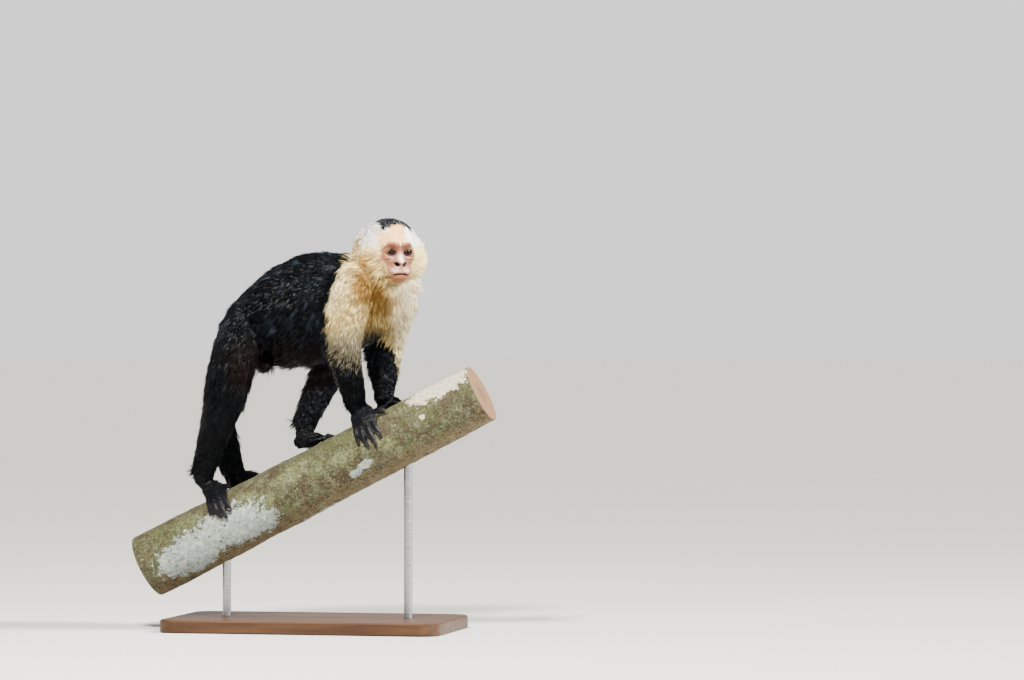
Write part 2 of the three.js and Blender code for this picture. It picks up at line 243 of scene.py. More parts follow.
# How far the skin lies inside the tips of the coat, and how much the facets are smoothed away.
COAT_DEPTH = {"head": 2.4, "neck": 5, "chest": 5, "belly": 4.5, "upper_arm": 4.5, "forearm": 3.2}
COAT_DEPTH |= {"thigh": 4.2, "shank": 3.2, "hand": 0.4, "foot": 0.4, "ear": 0.4, "scrotum": 2}
COAT_DEPTH |= {"tail_base": 4, "tail_middle": 3.6, "tail_tip": 3}
SOFTNESS = {"head": 0.5, "hand": 0.3, "foot": 0.3, "ear": 0.2, "scrotum": 0.5}
THIN_SHARE = 0.24  # no more of a thin part's thickness than this goes to its coat
# How strongly the coat hangs down, instead of running straight back over the body.
HANG = {"neck": 0.35, "chest": 0.5, "belly": 0.5, "upper_arm": 0.5, "thigh": 0.4, "head": 0.1}
# The bare face: half its width above and at the chin, its middle, half its height, and how square.
BARE_FACE = {"half": 25.0, "chin half": 20.0, "middle": -14.5, "high": 27.8, "square": 2.6}
FACE_REACH = 1.9  # how far out from the face, in its own size, its carving reaches
NOSE_TIP = (12, 0, -15)  # in the head's axes


def part_of(name):
    """The plain name of a body part, without its side."""
    return name.removeprefix("right_").removeprefix("left_")


def merged(name):
    """A CAD node's mesh with its loose triangles merged."""
    solid = bmesh.new()
    solid.from_mesh(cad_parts[name].data)
    bmesh.ops.remove_doubles(solid, verts=solid.verts, dist=1e-6)
    return solid


def melted_flesh():
    """The solids of the flesh, and the eyes, swollen until they meet, as one closed mesh."""
    whole = bpy.data.meshes.new("flesh")
    heap = bmesh.new()
    for name in FLESH + ["right_eye", "left_eye"]:
        solid = merged(name)
        if part_of(name) == "ear":  # a thin shell would be lost: it is filled, and cupped later
            hull = bmesh.ops.convex_hull(solid, input=solid.verts)
            inner = hull["geom_interior"] + hull["geom_unused"]
            bmesh.ops.delete(solid, geom=[v for v in inner if isinstance(v, bmesh.types.BMVert)])
        solid.normal_update()
        for vertex in solid.verts:
            vertex.co += vertex.normal * SWELL * MM
        solid.to_mesh(whole)
        solid.free()
        heap.from_mesh(whole)
    heap.to_mesh(whole)
    heap.free()
    source = placed("flesh", whole)
    remesh = source.modifiers.new("melt", "REMESH")
    remesh.mode = "VOXEL"
    remesh.voxel_size = VOXEL * MM
    return thinned(baked_down(source))


def thinned(mesh):
    """Fewer faces on the smooth trunk, and nearly as many on the digits."""
    source = placed("thinned", mesh)
    points = vertices_of(mesh)
    group = source.vertex_groups.new(name="plain")
    plain = np.ones(len(points), bool)
    for side in SIDES:
        for part in ("hand", "foot"):
            low, high = (np.array(corner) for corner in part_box(f"{side}_{part}"))
            plain &= ~((points > low - 2 * MM) & (points < high + 2 * MM)).all(axis=1)
    group.add(np.flatnonzero(plain).tolist(), 1.0, "REPLACE")
    collapse = source.modifiers.new("thin", "DECIMATE")
    collapse.ratio = mix(1.0, KEEP, plain.mean())
    collapse.vertex_group = "plain"
    return baked_down(source)


def nearest_parts(points):
    """For each point, the place in FLESH of the solid nearest to it."""
    corners, faces, owner = [], [], []
    for index, name in enumerate(FLESH):
        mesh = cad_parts[name].data
        triangles = triangles_of(mesh) + sum(map(len, corners))
        corners.append(vertices_of(mesh))
        faces.append(triangles)
        owner += [index] * len(triangles)
    tree = BVHTree.FromPolygons(np.concatenate(corners).tolist(), np.concatenate(faces).tolist())
    return np.array([owner[tree.find_nearest(p)[2]] for p in points.tolist()])


def by_part(table, parts, otherwise=1.0):
    """A number for each vertex from a table of body parts."""
    values = np.array([table.get(part_of(name), otherwise) for name in FLESH], float)
    return values[parts]


def way_from_nose(points, edges):
    """The length of the shortest way over the skin from the nose to each vertex, in mm."""
    start = int(np.argmin(np.linalg.norm(in_head(points) - NOSE_TIP, axis=1)))
    spans = np.linalg.norm(points[edges[:, 0]] - points[edges[:, 1]], axis=1) / MM
    links = [[] for _ in points]
    for (a, b), span in zip(edges.tolist(), spans.tolist()):
        links[a].append((b, span))
        links[b].append((a, span))
    best = [math.inf] * len(points)
    best[start] = 0.0
    queue = [(0.0, start)]
    while queue:
        far, here = heapq.heappop(queue)
        if far > best[here]:
            continue
        for there, span in links[here]:
            if far + span < best[there]:
                best[there] = far + span
                heapq.heappush(queue, (far + span, there))
    best = np.array(best)
    best[np.isinf(best)] = 0
    return best


def downhill(values, points, edges):
    """At each vertex, the way over the mesh in which the values grow."""
    a, b = edges.T
    apart = points[b] - points[a]
    pull = apart * ((values[b] - values[a]) / np.maximum((apart**2).sum(1), 1e-12))[:, None]
    total = np.zeros_like(points)
    for k in range(3):
        for end in (a, b):
            total[:, k] += np.bincount(end, pull[:, k], len(points))
    return total


def along_surface(vectors, normals):
    return unit(vectors - (vectors * normals).sum(1)[:, None] * normals)


def bend_along(flow, normals, points, edges):
    """How fast the skin turns away under a hair that lies along the flow, in 1 / metre."""
    a, b = edges.T
    apart, turn = points[b] - points[a], normals[b] - normals[a]
    top, bottom = np.zeros(len(points)), np.zeros(len(points))
    for end in (a, b):
        travel = (apart * flow[end]).sum(1)
        top += np.bincount(end, travel * (turn * flow[end]).sum(1), len(points))
        bottom += np.bincount(end, travel**2, len(points))
    return smoothed(top / np.maximum(bottom, 1e-12), edges, 6)


class Skin:
    """The bare body: its mesh as arrays, and what the coat needs to know at each vertex."""

    def __init__(self):
        mesh = melted_flesh()
        points, edges = vertices_of(mesh), edges_of(mesh)
        triangles = triangles_of(mesh)
        self.parts = nearest_parts(points)
        softness = smoothed(by_part(SOFTNESS, self.parts), edges, 4)
        points = faired(points, edges, 30, 0.6 * softness[:, None])
        points = self.sunk(points, edges, triangles, softness)
        self.mesh, self.points, self.edges, self.triangles = mesh, points, edges, triangles
        mesh.vertices.foreach_set("co", points.astype(np.float32).ravel())
        self.normals = unit(smoothed(vertex_normals(points, triangles), edges, 2))
        self.reach = smoothed(way_from_nose(points, edges), edges, 8)
        flow = along_surface(downhill(self.reach, points, edges), self.normals)
        hanging = by_part(HANG, self.parts, 0.0)
        flow = flow - UP * smoothed(hanging, edges, 6)[:, None]
        flow = smoothed(flow, edges, 8)
        self.order = np.linalg.norm(flow, axis=1)  # low where the hair runs together or apart
        self.flow = along_surface(flow, self.normals)
        self.bend = bend_along(self.flow, self.normals, points, edges)

    def sunk(self, points, edges, triangles, softness):
        """The outline moved in by the coat's depth, but never by much of a thin part."""
        tree = BVHTree.FromPolygons(points.tolist(), triangles.tolist())
        normals = vertex_normals(points, triangles)
        inside = (points - normals * 0.3 * MM).tolist()
        thick = [tree.ray_cast(p, (-n).tolist())[3] or 0.05 for p, n in zip(inside, normals)]
        depth = np.minimum(by_part(COAT_DEPTH, self.parts) * MM, THIN_SHARE * np.array(thick))
        depth = depth + 6 * MM * blob(in_head(points), (-28, -27, 38), (26, 15, 13))
        depth = smoothed(depth * furred(in_head(points)), edges, 12) + SWELL * MM
        rounds = 12
        for _ in range(rounds):
            normals = unit(smoothed(vertex_normals(points, triangles), edges, 2))
            points = points - normals * depth[:, None] / rounds
            points = faired(points, edges, 2, 0.5 * softness[:, None])
        return points


def face_edge(place):
    """1 along the edge of the bare face, less inside it. Place is in the head's axes."""
    f, l, u = place.T
    half = mix(BARE_FACE["half"], BARE_FACE["chin half"], step(-8, -38, u))
    across, rise = np.abs(l) / half, np.abs(u - BARE_FACE["middle"]) / BARE_FACE["high"]
    edge = (across ** BARE_FACE["square"] + rise ** BARE_FACE["square"]) ** (1 / BARE_FACE["square"])
    return np.where(f > -26, edge, 2.0)


def furred(place):
    """1 where the head has a coat, falling to 0 on the bare face."""
    return step(0.93, 1.1, face_edge(place))


# ---------------------------------------------------------------- the face, ears and digits

# Swellings and hollows of the bare face. Each is mirrored: how far out from the midline and how
# far up it lies, its reach out and up, its height, and how it is tilted, in degrees.
FACE_FORMS = {
    "brow ridge": ((11.5, 11.0), (9.0, 3.4), 3.4, 8),
    "frown": ((2.6, 10.0), (1.2, 4.0), 0.8, 0),
    "frown groove": ((0.0, 10.5), (1.0, 4.5), -0.9, 0),
    "inner corner": ((5.8, -1.5), (2.0, 3.0), -1.3, 0),
    "cheekbone": ((21.0, -8.0), (6.0, 6.0), 1.4, 0),
    "bag under the eye": ((13.0, -7.6), (6.5, 1.6), 1.5, -6),
    "groove under the eye": ((13.5, -10.2), (7.5, 1.1), -1.3, -10),
    "bridge": ((0.0, -6.0), (3.4, 8.5), 0.9, 0),
    "nose": ((0.0, -13.5), (5.5, 3.2), 1.2, 0),
    "nose wing": ((7.4, -14.6), (2.8, 2.6), 2.2, 0),
    "nostril": ((6.2, -16.8), (3.7, 2.2), -6.6, 26),
    "septum": ((0.0, -18.5), (2.0, 2.4), 1.2, 0),
    "lip furrow": ((0.0, -24.0), (1.3, 4.0), -0.7, 0),
    "lip furrow edge": ((2.5, -24.5), (1.2, 4.0), 0.4, 0),
    "fold beside the nose": ((12.0, -21.0), (1.3, 8.0), -2.1, -28),
    "upper lip": ((7.0, -27.6), (8.0, 2.2), 0.9, 10),
    "lower lip": ((0.0, -35.6), (12.0, 2.4), 1.6, 0),
    "chin groove": ((0.0, -39.4), (8.0, 1.1), -1.1, 0),
    "chin": ((0.0, -42.0), (7.0, 3.5), 0.9, 0),
    "muzzle side": ((14.5, -27.0), (5.5, 7.0), 2.8, 0),
    "muzzle middle": ((0.0, -29.0), (7.0, 8.0), -0.9, 0),
    "jowl": ((19.5, -33.0), (5.0, 5.0), 0.9, 0),
}
MOUTH = {"middle": -30.4, "corner": -35.6, "half": 24.0, "width": 0.8, "depth": 2.8}
LIDS = {"half": 6.2, "up": 4.1, "down": 3.8, "over": 0.95, "rim": 0.45, "behind": 1.6}


def face_form(out, up, name):
    (x, y), (wide, high), height, tilt = FACE_FORMS[name]
    total = 0.0
    for side in ((1, -1) if x else (1,)):
        across, rise = side * out - x, up - y
        turn = math.radians(tilt)
        along = (across * math.cos(turn) + rise * math.sin(turn)) / wide
        square = (rise * math.cos(turn) - across * math.sin(turn)) / high
        total = total + height * np.exp(-(along**2) - square**2)
    return total


def mouth_line(l):
    """How high the closed mouth lies, out from the midline."""
    return mix(MOUTH["middle"], MOUTH["corner"], np.clip(np.abs(l) / MOUTH["half"], 0, 1.3) ** 1.6)


def mouth_groove(l, u):
    ends = step(MOUTH["half"] + 1.5, MOUTH["half"] - 1.0, np.abs(l))
    return ends * np.exp(-(((u - mouth_line(l)) / MOUTH["width"]) ** 2))


def lips_zone(place):
    """1 along the mouth, where no hair grows."""
    f, l, u = place.T
    return np.exp(-(((u - mouth_line(l)) / 3.0) ** 2)) * step(27, 23, np.abs(l)) * step(-26, -20, f)


def lid_opening(place, side):
    """Below 1 in the opening between the lids of one eye, and above 1 on the lids."""
    out = (place[:, 1] if side == "left" else -place[:, 1]) - EYE_OUT
    up = place[:, 2] + 0.14 * out * -1
    high = np.where(up > 0, LIDS["up"], LIDS["down"])
    return (np.abs(out / LIDS["half"]) ** 1.8 + np.abs(up / high) ** 1.8) ** (1 / 1.8)


def carve_face(place, normals):
    """Moves the points of the face, in the head's axes, to its brow, nose, lips and lids."""
    bare = 1 - furred(place)
    near = step(-30, -8, place[:, 0]) * step(FACE_REACH, 1.15, face_edge(place))
    height = sum(face_form(place[:, 1], place[:, 2], name) for name in FACE_FORMS)
    height = height - MOUTH["depth"] * mouth_groove(place[:, 1], place[:, 2])
    creases = wrinkles(place) * bare
    place = place + normals * (height * near + creases)[:, None]
    for side in SIDES:
        place = closed_lids(place, side)
    return place


def closed_lids(place, side):
    """Lays the skin about one eye on its ball, and sinks it behind the ball between the lids."""
    centre = np.array([-EYE_BALL["back"], EYE_OUT if side == "left" else -EYE_OUT, 0])
    away = place - centre
    far = np.linalg.norm(away, axis=1)
    opening = lid_opening(place, side)
    crease = 0.6 * np.exp(-(((opening - 1.75) / 0.15) ** 2))
    lid = EYE_BALL["radius"] + mix(LIDS["rim"], LIDS["over"], step(1.0, 1.2, opening)) - crease
    slack = 3.0 * step(1.45, 2.5, opening)
    laid = np.clip(far, lid - 2 * slack, lid + slack)
    laid = np.where(opening < 1.0, EYE_BALL["radius"] - LIDS["behind"], laid)
    inner = step(-2, -7, away[:, 1] if side == "left" else -away[:, 1])
    hold = step(mix(2.9, 1.75, inner), mix(2.0, 1.3, inner), opening)
    hold = hold * step(-2, 2, away[:, 0]) * (far < EYE_BALL["radius"] + 10)
    reach = mix(far, laid, hold)
    return centre + away * (reach / np.maximum(far, 1e-6))[:, None]


def wrinkles(place):
    """Fine creases of old skin: rings about the eyes, and lines on the brow and lips."""
    l, u = place.T[1:]
    ring = np.hypot(np.abs(l) - EYE_OUT, u * 1.15)
    about_eyes = 0.32 * np.sin(ring * 3.6 + 1.2 * np.sin(l * 0.9))
    about_eyes = about_eyes * step(7.5, 9, ring) * step(15, 11, ring)
    on_lips = 0.05 * np.sin(l * 3.4 + u) * step(7, 3, np.abs(u - mouth_line(l)))
    return about_eyes * step(14, 4, u) + on_lips


# The ear: its half sizes round its rim, how far the rim stands out, and how deep its cup is.
EAR = {"half wide": 9.0, "half high": 16.5, "rim": 5.6, "rim at": 0.84, "rim thick": 0.17, "cup": 3.4,
       "lean": 14}


def ear_axes(side):
    """The middle of an ear's root, and its ways backward, upward and out from the head."""
    out = HEAD_AXES[1] * (1 if side == "left" else -1)
    facing = unit(out + 0.45 * TO_FRONT)
    tilt = math.radians(EAR["lean"])
    up = unit(UP * math.cos(tilt) - TO_FRONT * math.sin(tilt))
    back = unit(np.cross(up, facing))
    back = back * np.sign(-(back @ TO_FRONT))
    return middle(f"{side}_ear"), back, up, facing


def in_ear(points, side):
    """How far round the ear each point lies (1 at its edge), and which way, 1 being its back."""
    heart, back, up, facing = ear_axes(side)
    away = (points - heart) / MM
    x, y = away @ back / EAR["half wide"], away @ up / EAR["half high"]
    spread = np.hypot(x, y)
    near = step(20, 15, np.abs(away @ facing))
    return spread, x / np.maximum(spread, 0.05), y / np.maximum(spread, 0.05), near


def raise_ears(points, normals):
    """Draws out the rim of each ear from the side of the head, and presses in its cup."""
    for side in SIDES:
        facing = ear_axes(side)[3]
        spread, back, up, near = in_ear(points, side)
        near = near * step(-0.3, 0.1, normals @ facing)
        high = 0.25 + 0.75 * step(-0.7, 0.7, back + 0.35 * up)
        rim = EAR["rim"] * high * np.exp(-(((spread - EAR["rim at"]) / EAR["rim thick"]) ** 2))
        inner = 1.6 * np.exp(-(((spread - 0.5) / 0.12) ** 2)) * step(-0.2, 0.6, back)
        cup = EAR["cup"] * step(0.62, 0.25, spread)
        points = points + facing * ((rim + inner - cup) * near * MM)[:, None]
        points = points - ear_axes(side)[1] * (-2.4 * rim / EAR["rim"] * near * MM)[:, None]
    return points


def refined(mesh, near, cuts=1):
    """Splits every face that touches a chosen vertex into finer ones."""
    fine = bmesh.new()
    fine.from_mesh(mesh)
    fine.verts.ensure_lookup_table()
    chosen = [e for e in fine.edges if near[e.verts[0].index] and near[e.verts[1].index]]
    bmesh.ops.subdivide_edges(fine, edges=chosen, cuts=cuts, use_grid_fill=True)
    bmesh.ops.triangulate(fine, faces=[f for f in fine.faces if len(f.verts) > 4])
    fine.to_mesh(mesh)
    fine.free()


def near_face(points):
    place = in_head(points)
    return (np.hypot(place[:, 1] / 30, (place[:, 2] + 14) / 32) < 1) & (place[:, 0] > -22)


def near_features(points):
    """The eyes, nostrils and lips, where the mesh is finest."""
    f, l, u = in_head(points).T
    eye = np.hypot(np.abs(l) - EYE_OUT, u) < 8.2
    nose = np.hypot(np.abs(l) / 10, (u + 16.5) / 5) < 1
    mouth = (np.abs(u - mouth_line(l)) < 2.2) & (np.abs(l) < MOUTH["half"] + 2)
    return (eye | nose | mouth) & (f > -8)


def near_ears(points):
    zones = [in_ear(points, side) for side in SIDES]
    return np.any([(spread < 1.35) & (near > 0) for spread, _, _, near in zones], axis=0)


def dress_skin(skin):
    """The finished skin: finer on the face and digits, with the face carved into it."""
    mesh = skin.mesh
    refined(mesh, near_face(skin.points) | near_ears(skin.points))
    points = vertices_of(mesh)
    refined(mesh, near_face(points) | near_ears(points))
    refined(mesh, near_features(vertices_of(mesh)))
    points, edges, triangles = vertices_of(mesh), edges_of(mesh), triangles_of(mesh)
    parts = nearest_parts(points)
    points = smoothed(points, edges, 3, 0.5 * (near_face(points) | near_ears(points))[:, None])
    normals = unit(smoothed(vertex_normals(points, triangles), edges, 10))
    points = raise_ears(points, normals)
    face = near_face(points)
    place = in_head(points)
    carved = carve_face(place, normals @ HEAD_AXES.T)
    points = np.where(face[:, None], from_head(carved), points)
    mesh.vertices.foreach_set("co", points.astype(np.float32).ravel())
    mesh.polygons.foreach_set("use_smooth", np.ones(len(mesh.polygons), bool))
    mesh.name = "skin"
    made = placed("skin", mesh)
    paint(made, markings(points, parts))
    return made


# ---------------------------------------------------------------- markings, with painted highlights and shade, the same on skin and coat

# The sheen colour is a painted highlight laid into the black coat.
BLACK = {"back": "#070a0e", "belly": "#170f09", "sheen": "#3a434f"}
# The golden colour is darkened to serve also as painted shade in the folds; the lightest cream is laid on as
# a painted highlight, and the dark brown breast colour as a painted shadow.
CREAM = {"sunlit": "#fdeaa4", "cream": "#ddb552", "gold_and_shade": "#7b5c2b", "grizzled": "#76715f"}
CREAM |= {"tips": "#fff4d2", "breast_shade": "#5d4b27"}
HEAD_COAT = {"white": "#fffdf6", "forehead": "#f5c48c", "cheek": "#a06c2a"}
# The pale colour is a painted highlight down the nose, under the eyes and on the upper lip.
FACE_SKIN = {"tan": "#68452c", "red": "#7b4938", "pale": "#dec6b8", "pink": "#8c6251"}
# The gap and nostril colours are painted shade along the closed mouth and inside the nostrils.
FACE_SKIN |= {"fuzz": "#815b3c", "lip": "#70432e", "gap": "#200c07"}
# The lid colour is the dark rim of the lids, widened into painted shade about each eye.
FACE_SKIN |= {"nostril": "#100404", "lid": "#221009"}
DARK_SKIN = {"hand": "#080b11", "palm": "#0e0e0e"}
# The cup is darker than the rim as painted shade in its hollow.
EAR_SKIN = {"rim": "#7a644c", "cup": "#43342a"}
EAR_HAIR = "#e2cfa6"
# A painted rim highlight: grey lilac laid on some of the dark hairs of the crown cap.
CAP_RIM_HIGHLIGHT = "#a9a6b2"


def blob(points, centre, radius):
    """1 at centre, fading over radius. Both in the same units as the points."""
    return np.exp(-(((points - np.asarray(centre)) / np.asarray(radius)) ** 2).sum(axis=1))


def crown_cap(place, ragged):
    """1 on the dark cap of the crown, in the head's axes."""
    f, l, u = place.T
    brow = step(31.5, 35.0, u + 9 * ((l - 3) / 19) ** 2 + ragged * 1.8) * step(-4, -9, f)
    crown = step(-24, -30, f + ragged * 2)
    side = step(23.0, 18.0, np.abs(l - 3) + ragged * 2.2)
    return np.maximum(brow, crown) * side * step(-12, 4, u)


NAPE = np.array([[84.0, 34.0, 532.0], [62.0, 15.0, 536.0], [39.0, 4.0, 531.0]])


def pale_share(points, parts):
    """1 where the coat is cream, 0 where it is black. Points in metres."""
    mm = points / MM
    x, y, z = mm.T
    ragged = fine_noise(points, 13, 1)
    border = 43 + 20 * step(450, 540, z) + 26 * step(0, 45, y)
    pale = step(-6, 6, x - border + 5 * ragged)
    across = mm @ SEEN_RIGHT - 86
    arms = {side: np.isin(parts, [FLESH.index(f"{side}_{limb}") for limb in LIMBS[:2]]) for side in SIDES}
    low = 430 - 1.05 * np.minimum(np.abs(across), 23)  # the black runs up between the arms in a V
    low = np.where(arms["left"], low - 26 * step(20, 27, across), low)
    low = np.where(arms["right"], 391, low)
    soft = np.where(arms["right"] | (across > 22), 32, 11)
    pale = pale * step(-1, 1, (z - low + 7 * ragged) / soft)
    nape = np.min([np.linalg.norm(mm - spot, axis=1) for spot in NAPE], axis=0)
    pale = pale * step(20.5, 22.5, nape + 2 * ragged)
    head = parts == FLESH.index("head")
    pale = np.where(head, 1 - crown_cap(in_head(points), ragged), pale)
    cream_parts = [i for i, name in enumerate(FLESH) if part_of(name) == "ear"]
    black_parts = ("hand", "foot", "thigh", "shank", "tail_base", "tail_middle", "tail_tip", "scrotum")
    black = [i for i, name in enumerate(FLESH) if part_of(name) in black_parts]
    pale = np.where(np.isin(parts, black), 0, pale)
    return np.where(np.isin(parts, cream_parts), 1, pale)


# Where the cream coat turns golden, darkened as painted shade in the folds under the head and between the
# arms: how much, and each fold's place and reach in millimetres.
GOLDEN_FOLD_SHADE = [
    (0.9, (84, -64, 486), (17, 26, 24)), (0.7, (104, -30, 462), (22, 30, 40)),
    (0.3, (78, -60, 440), (22, 30, 40)), (0.2, (120, -30, 470), (20, 30, 30)),
    (0.5, (102, -45, 486), (18, 30, 16)), (0.4, (92, -50, 514), (14, 20, 12)),
]


def pale_coat(points, parts):
    """The cream coat: white temples, peach forehead, golden throat and golden folds darkened as painted
    shade, a painted shadow on the breast, and painted highlights on the upper shoulder and on the side that
    faces the sun.
    """
    mm = points / MM
    cloud = fine_noise(points, 22, 2)[:, None] * 0.5 + 0.5
    shade = mix(linear(CREAM["sunlit"]), linear(CREAM["cream"]), np.clip(0.05 + 0.5 * cloud, 0, 1)[:, 0])
    # Painted highlight on the upper shoulder, where the light falls.
    shade = tinted(shade, CREAM["tips"], 0.6 * blob(mm, (52, -60, 480), (19, 40, 34)))
    gold_and_shade = sum(share * blob(mm, place, reach) for share, place, reach in GOLDEN_FOLD_SHADE)
    # Golden fur, darkened as painted shade in the folds.
    shade = tinted(shade, CREAM["gold_and_shade"], np.clip(gold_and_shade + 0.12 * cloud[:, 0], 0, 1))
    shade = tinted(shade, CREAM["grizzled"], step(455, 408, mm[:, 2]) * 0.95 * step(40, 0, mm[:, 1]))
    # Painted shadow on the breast, between the arms and under the head.
    shade = tinted(shade, CREAM["breast_shade"], 0.95 * blob(mm, (100, 4, 430), (26, 40, 24)))
    # Painted highlight on the side of the chest and far arm that faces the sun.
    shade = tinted(shade, CREAM["tips"], 0.85 * step(102, 128, mm @ SEEN_RIGHT))
    head = np.isin(parts, [FLESH.index(n) for n in ("head", "right_ear", "left_ear")])
    return np.where(head[:, None], head_coat(in_head(points)), shade)


def head_coat(place):
    f, l, u = place.T
    side = np.abs(l)
    white = np.where(l < 0, step(22, 31, side), step(6, 15, side))
    white = np.max([white, step(8, 15, -l) * step(22, 30, u), step(-8, -22, f)], axis=0)
    shade = mix(linear(HEAD_COAT["forehead"]), linear(HEAD_COAT["white"]), white)
    shade = tinted(shade, CREAM["sunlit"], step(14, -2, u))
    shade = tinted(shade, CREAM["cream"], step(-25, -55, f) * 0.4 * step(34, 16, u))
    cheek = step(6, -10, u) * np.where(l < 0, step(56, 36, side), 0.5 * step(30, 20, side))
    cheek = cheek * mix(0.45, 0.9, step(1.05, 1.3, face_edge(place)))
    shade = tinted(shade, HEAD_COAT["cheek"], cheek)
    throat = step(-34, -46, u)
    # Golden throat, and the fold under the jaw, darkened as painted shade.
    shade = tinted(shade, CREAM["gold_and_shade"], 0.5 * throat * step(34, 16, side) * step(22, 8, l))
    shade = tinted(shade, CREAM["gold_and_shade"], 0.7 * step(-8, -28, u) * step(-14, -36, f))
    return tinted(shade, EAR_HAIR, 0.8 * ear_zone(from_head(place)))


def ear_zone(points):
    """1 on the ears, 0 off them."""
    zones = [in_ear(points, side) for side in SIDES]
    return np.max([near * step(1.3, 1.05, spread) for spread, _, _, near in zones], axis=0)


def dark_coat(points):
    """Black, with a painted blue highlight along the ridges of its locks on the upper body, and brown where
    it thins below.
    """
    x, _, z = (points / MM).T
    low = 0.8 * step(430, 385, z) * step(335, 370, z) * step(-120, -90, x) * step(30, 0, x)
    shade = mix(linear(BLACK["back"]), linear(BLACK["belly"]), low)
    # Painted highlight: the black coat lightened towards blue grey in patches on the upper body.
    gleam = step(0.0, 0.8, fine_noise(points, 24, 3)) * step(330, 470, z)
    return tinted(shade, BLACK["sheen"], 0.2 * gleam * (1 - low))


def face_skin(place, points):
    """The bare face: reddish about the eyes, pink round the mouth, with painted shade under the brow, along
    the mouth, in the nostrils and about the lids, and painted highlights down the nose, under the eyes and
    on the upper lip.
    """
    l, u = place.T[1:]
    side = np.abs(l)
    cloud = fine_noise(points, 5, 4) * 0.5
    shade = mix(linear(FACE_SKIN["tan"]), linear(FACE_SKIN["red"]), np.clip(0.25 + 0.5 * cloud, 0, 1))
    eye = np.hypot((side - EYE_OUT) / 1.15, u)
    red = step(14, 7, eye) * 0.75 + 0.4 * step(5, 12, u)
    shade = tinted(shade, FACE_SKIN["red"], np.clip(red, 0, 1))
    # Painted shade in the upper hollow of each eye, under the brow.
    shade = mix(shade, shade * 0.6, step(13, 8.5, eye) * step(1, 5, u + 0.25 * side))
    under = np.exp(-(((side - 14) / 7) ** 2) - (((u + 10) / 3) ** 2))
    shade = tinted(shade, FACE_SKIN["pink"], 0.75 * under)
    # Painted highlight on the bag under each eye.
    bag = np.exp(-(((side - 12) / 5) ** 2) - (((u + 8) / 2.0) ** 2))
    shade = tinted(shade, FACE_SKIN["pale"], 0.22 * bag)
    # Painted highlight down the bridge of the nose.
    bridge = np.exp(-((l / 3.8) ** 2)) * step(3, -9, u) * step(-17, -13, u)
    shade = tinted(shade, FACE_SKIN["pale"], np.clip(1.1 * bridge, 0, 1))
    muzzle = np.exp(-((l / 13) ** 4) - (((u + 23) / 7.5) ** 4))
    shade = tinted(shade, FACE_SKIN["pink"], 0.9 * muzzle)
    # Painted highlight on the upper lip, to each side of the nose.
    highlight_above_lip = np.exp(-(((side - 9) / 5) ** 2) - (((u + 25) / 4) ** 2))
    shade = tinted(shade, FACE_SKIN["pale"], 0.4 * highlight_above_lip)
    off_line = np.abs(u - mouth_line(l))
    lips = step(4.2, 1.4, off_line) * step(MOUTH["half"] + 3, MOUTH["half"] - 2, side)
    shade = tinted(shade, FACE_SKIN["lip"], 0.85 * lips)
    # Painted shade along the line of the closed mouth.
    shade = tinted(shade, FACE_SKIN["gap"], np.clip(mouth_groove(l, u) * 1.5, 0, 1))
    # Painted shade inside the nostrils.
    nostril_shade = np.clip(-face_form(l, u, "nostril") / 2.2 - 0.3, 0, 1)
    shade = tinted(shade, FACE_SKIN["nostril"], nostril_shade)
    freckle = step(0.35, 0.6, fine_noise(points, 2.2, 5)) * step(18, 10, np.abs(u + 12))
    shade = mix(shade, shade * 0.72, freckle * 0.5)
    # The dark rim of the lids, widened into painted shade about each eye.
    for eye_side in SIDES:
        opening = lid_opening(place, eye_side)
        shade = tinted(shade, FACE_SKIN["lid"], step(1.42, 1.12, opening))
    return shade


def markings(points, parts):
    """The colour of the skin at each point, bare or under its coat, in linear light, with the painted
    highlights and shade of the coat and face.
    """
    place = in_head(points)
    pale = pale_share(points, parts)
    under = mix(dark_coat(points) * 0.8, pale_coat(points, parts) * 0.55, pale)
    head = parts == FLESH.index("head")
    edge = step(0.45, 1.0, furred(place))
    fuzz = 0.65 * step(0.72, 1.0, face_edge(place)) * step(12, 2, place[:, 2]) * (1 - lips_zone(place))
    edge = edge * (1 - 0.8 * lips_zone(place))
    skin_under = mix(linear(FACE_SKIN["tan"]) * 1.5, under, step(1.06, 1.2, face_edge(place)))
    bare = mix(face_skin(place, points), linear(FACE_SKIN["fuzz"]), fuzz)
    shade = np.where(head[:, None], mix(bare, skin_under, edge), under)
    for side in SIDES:
        shade = mix(shade, *ear_skin(points, side))
    bare = np.isin(parts, [i for i, name in enumerate(FLESH) if part_of(name) in ("hand", "foot")])
    dark = mix(linear(DARK_SKIN["hand"]), linear(DARK_SKIN["palm"]), 0.5 + 0.5 * fine_noise(points, 6, 6))
    return np.where(bare[:, None], dark, shade)


def ear_skin(points, side):
    """The ear's colour, its cup darkened as painted shade, and how much of it shows at each point."""
    spread, _, _, near = in_ear(points, side)
    shade = mix(linear(EAR_SKIN["cup"]), linear(EAR_SKIN["rim"]), step(0.3, 0.75, spread))
    return shade, near * step(1.22, 1.08, spread)


def paint(piece, shades, name="markings"):
    layer = piece.data.color_attributes.new(name, "FLOAT_COLOR", "POINT")
    rgba = np.ones((len(shades), 4), np.float32)
    rgba[:, :3] = np.clip(shades, 0, 1)
    layer.data.foreach_set("color", rgba.ravel())


# ---------------------------------------------------------------- the coat

TUFTS = 147000
BELLY_OF_TUFT = 0.46  # how far along a tuft is widest
LOCK = 10  # how many tufts lean together in a lock
STRAYS = 0.035  # the share of the tufts that stand up out of their lock
SEED = 9338
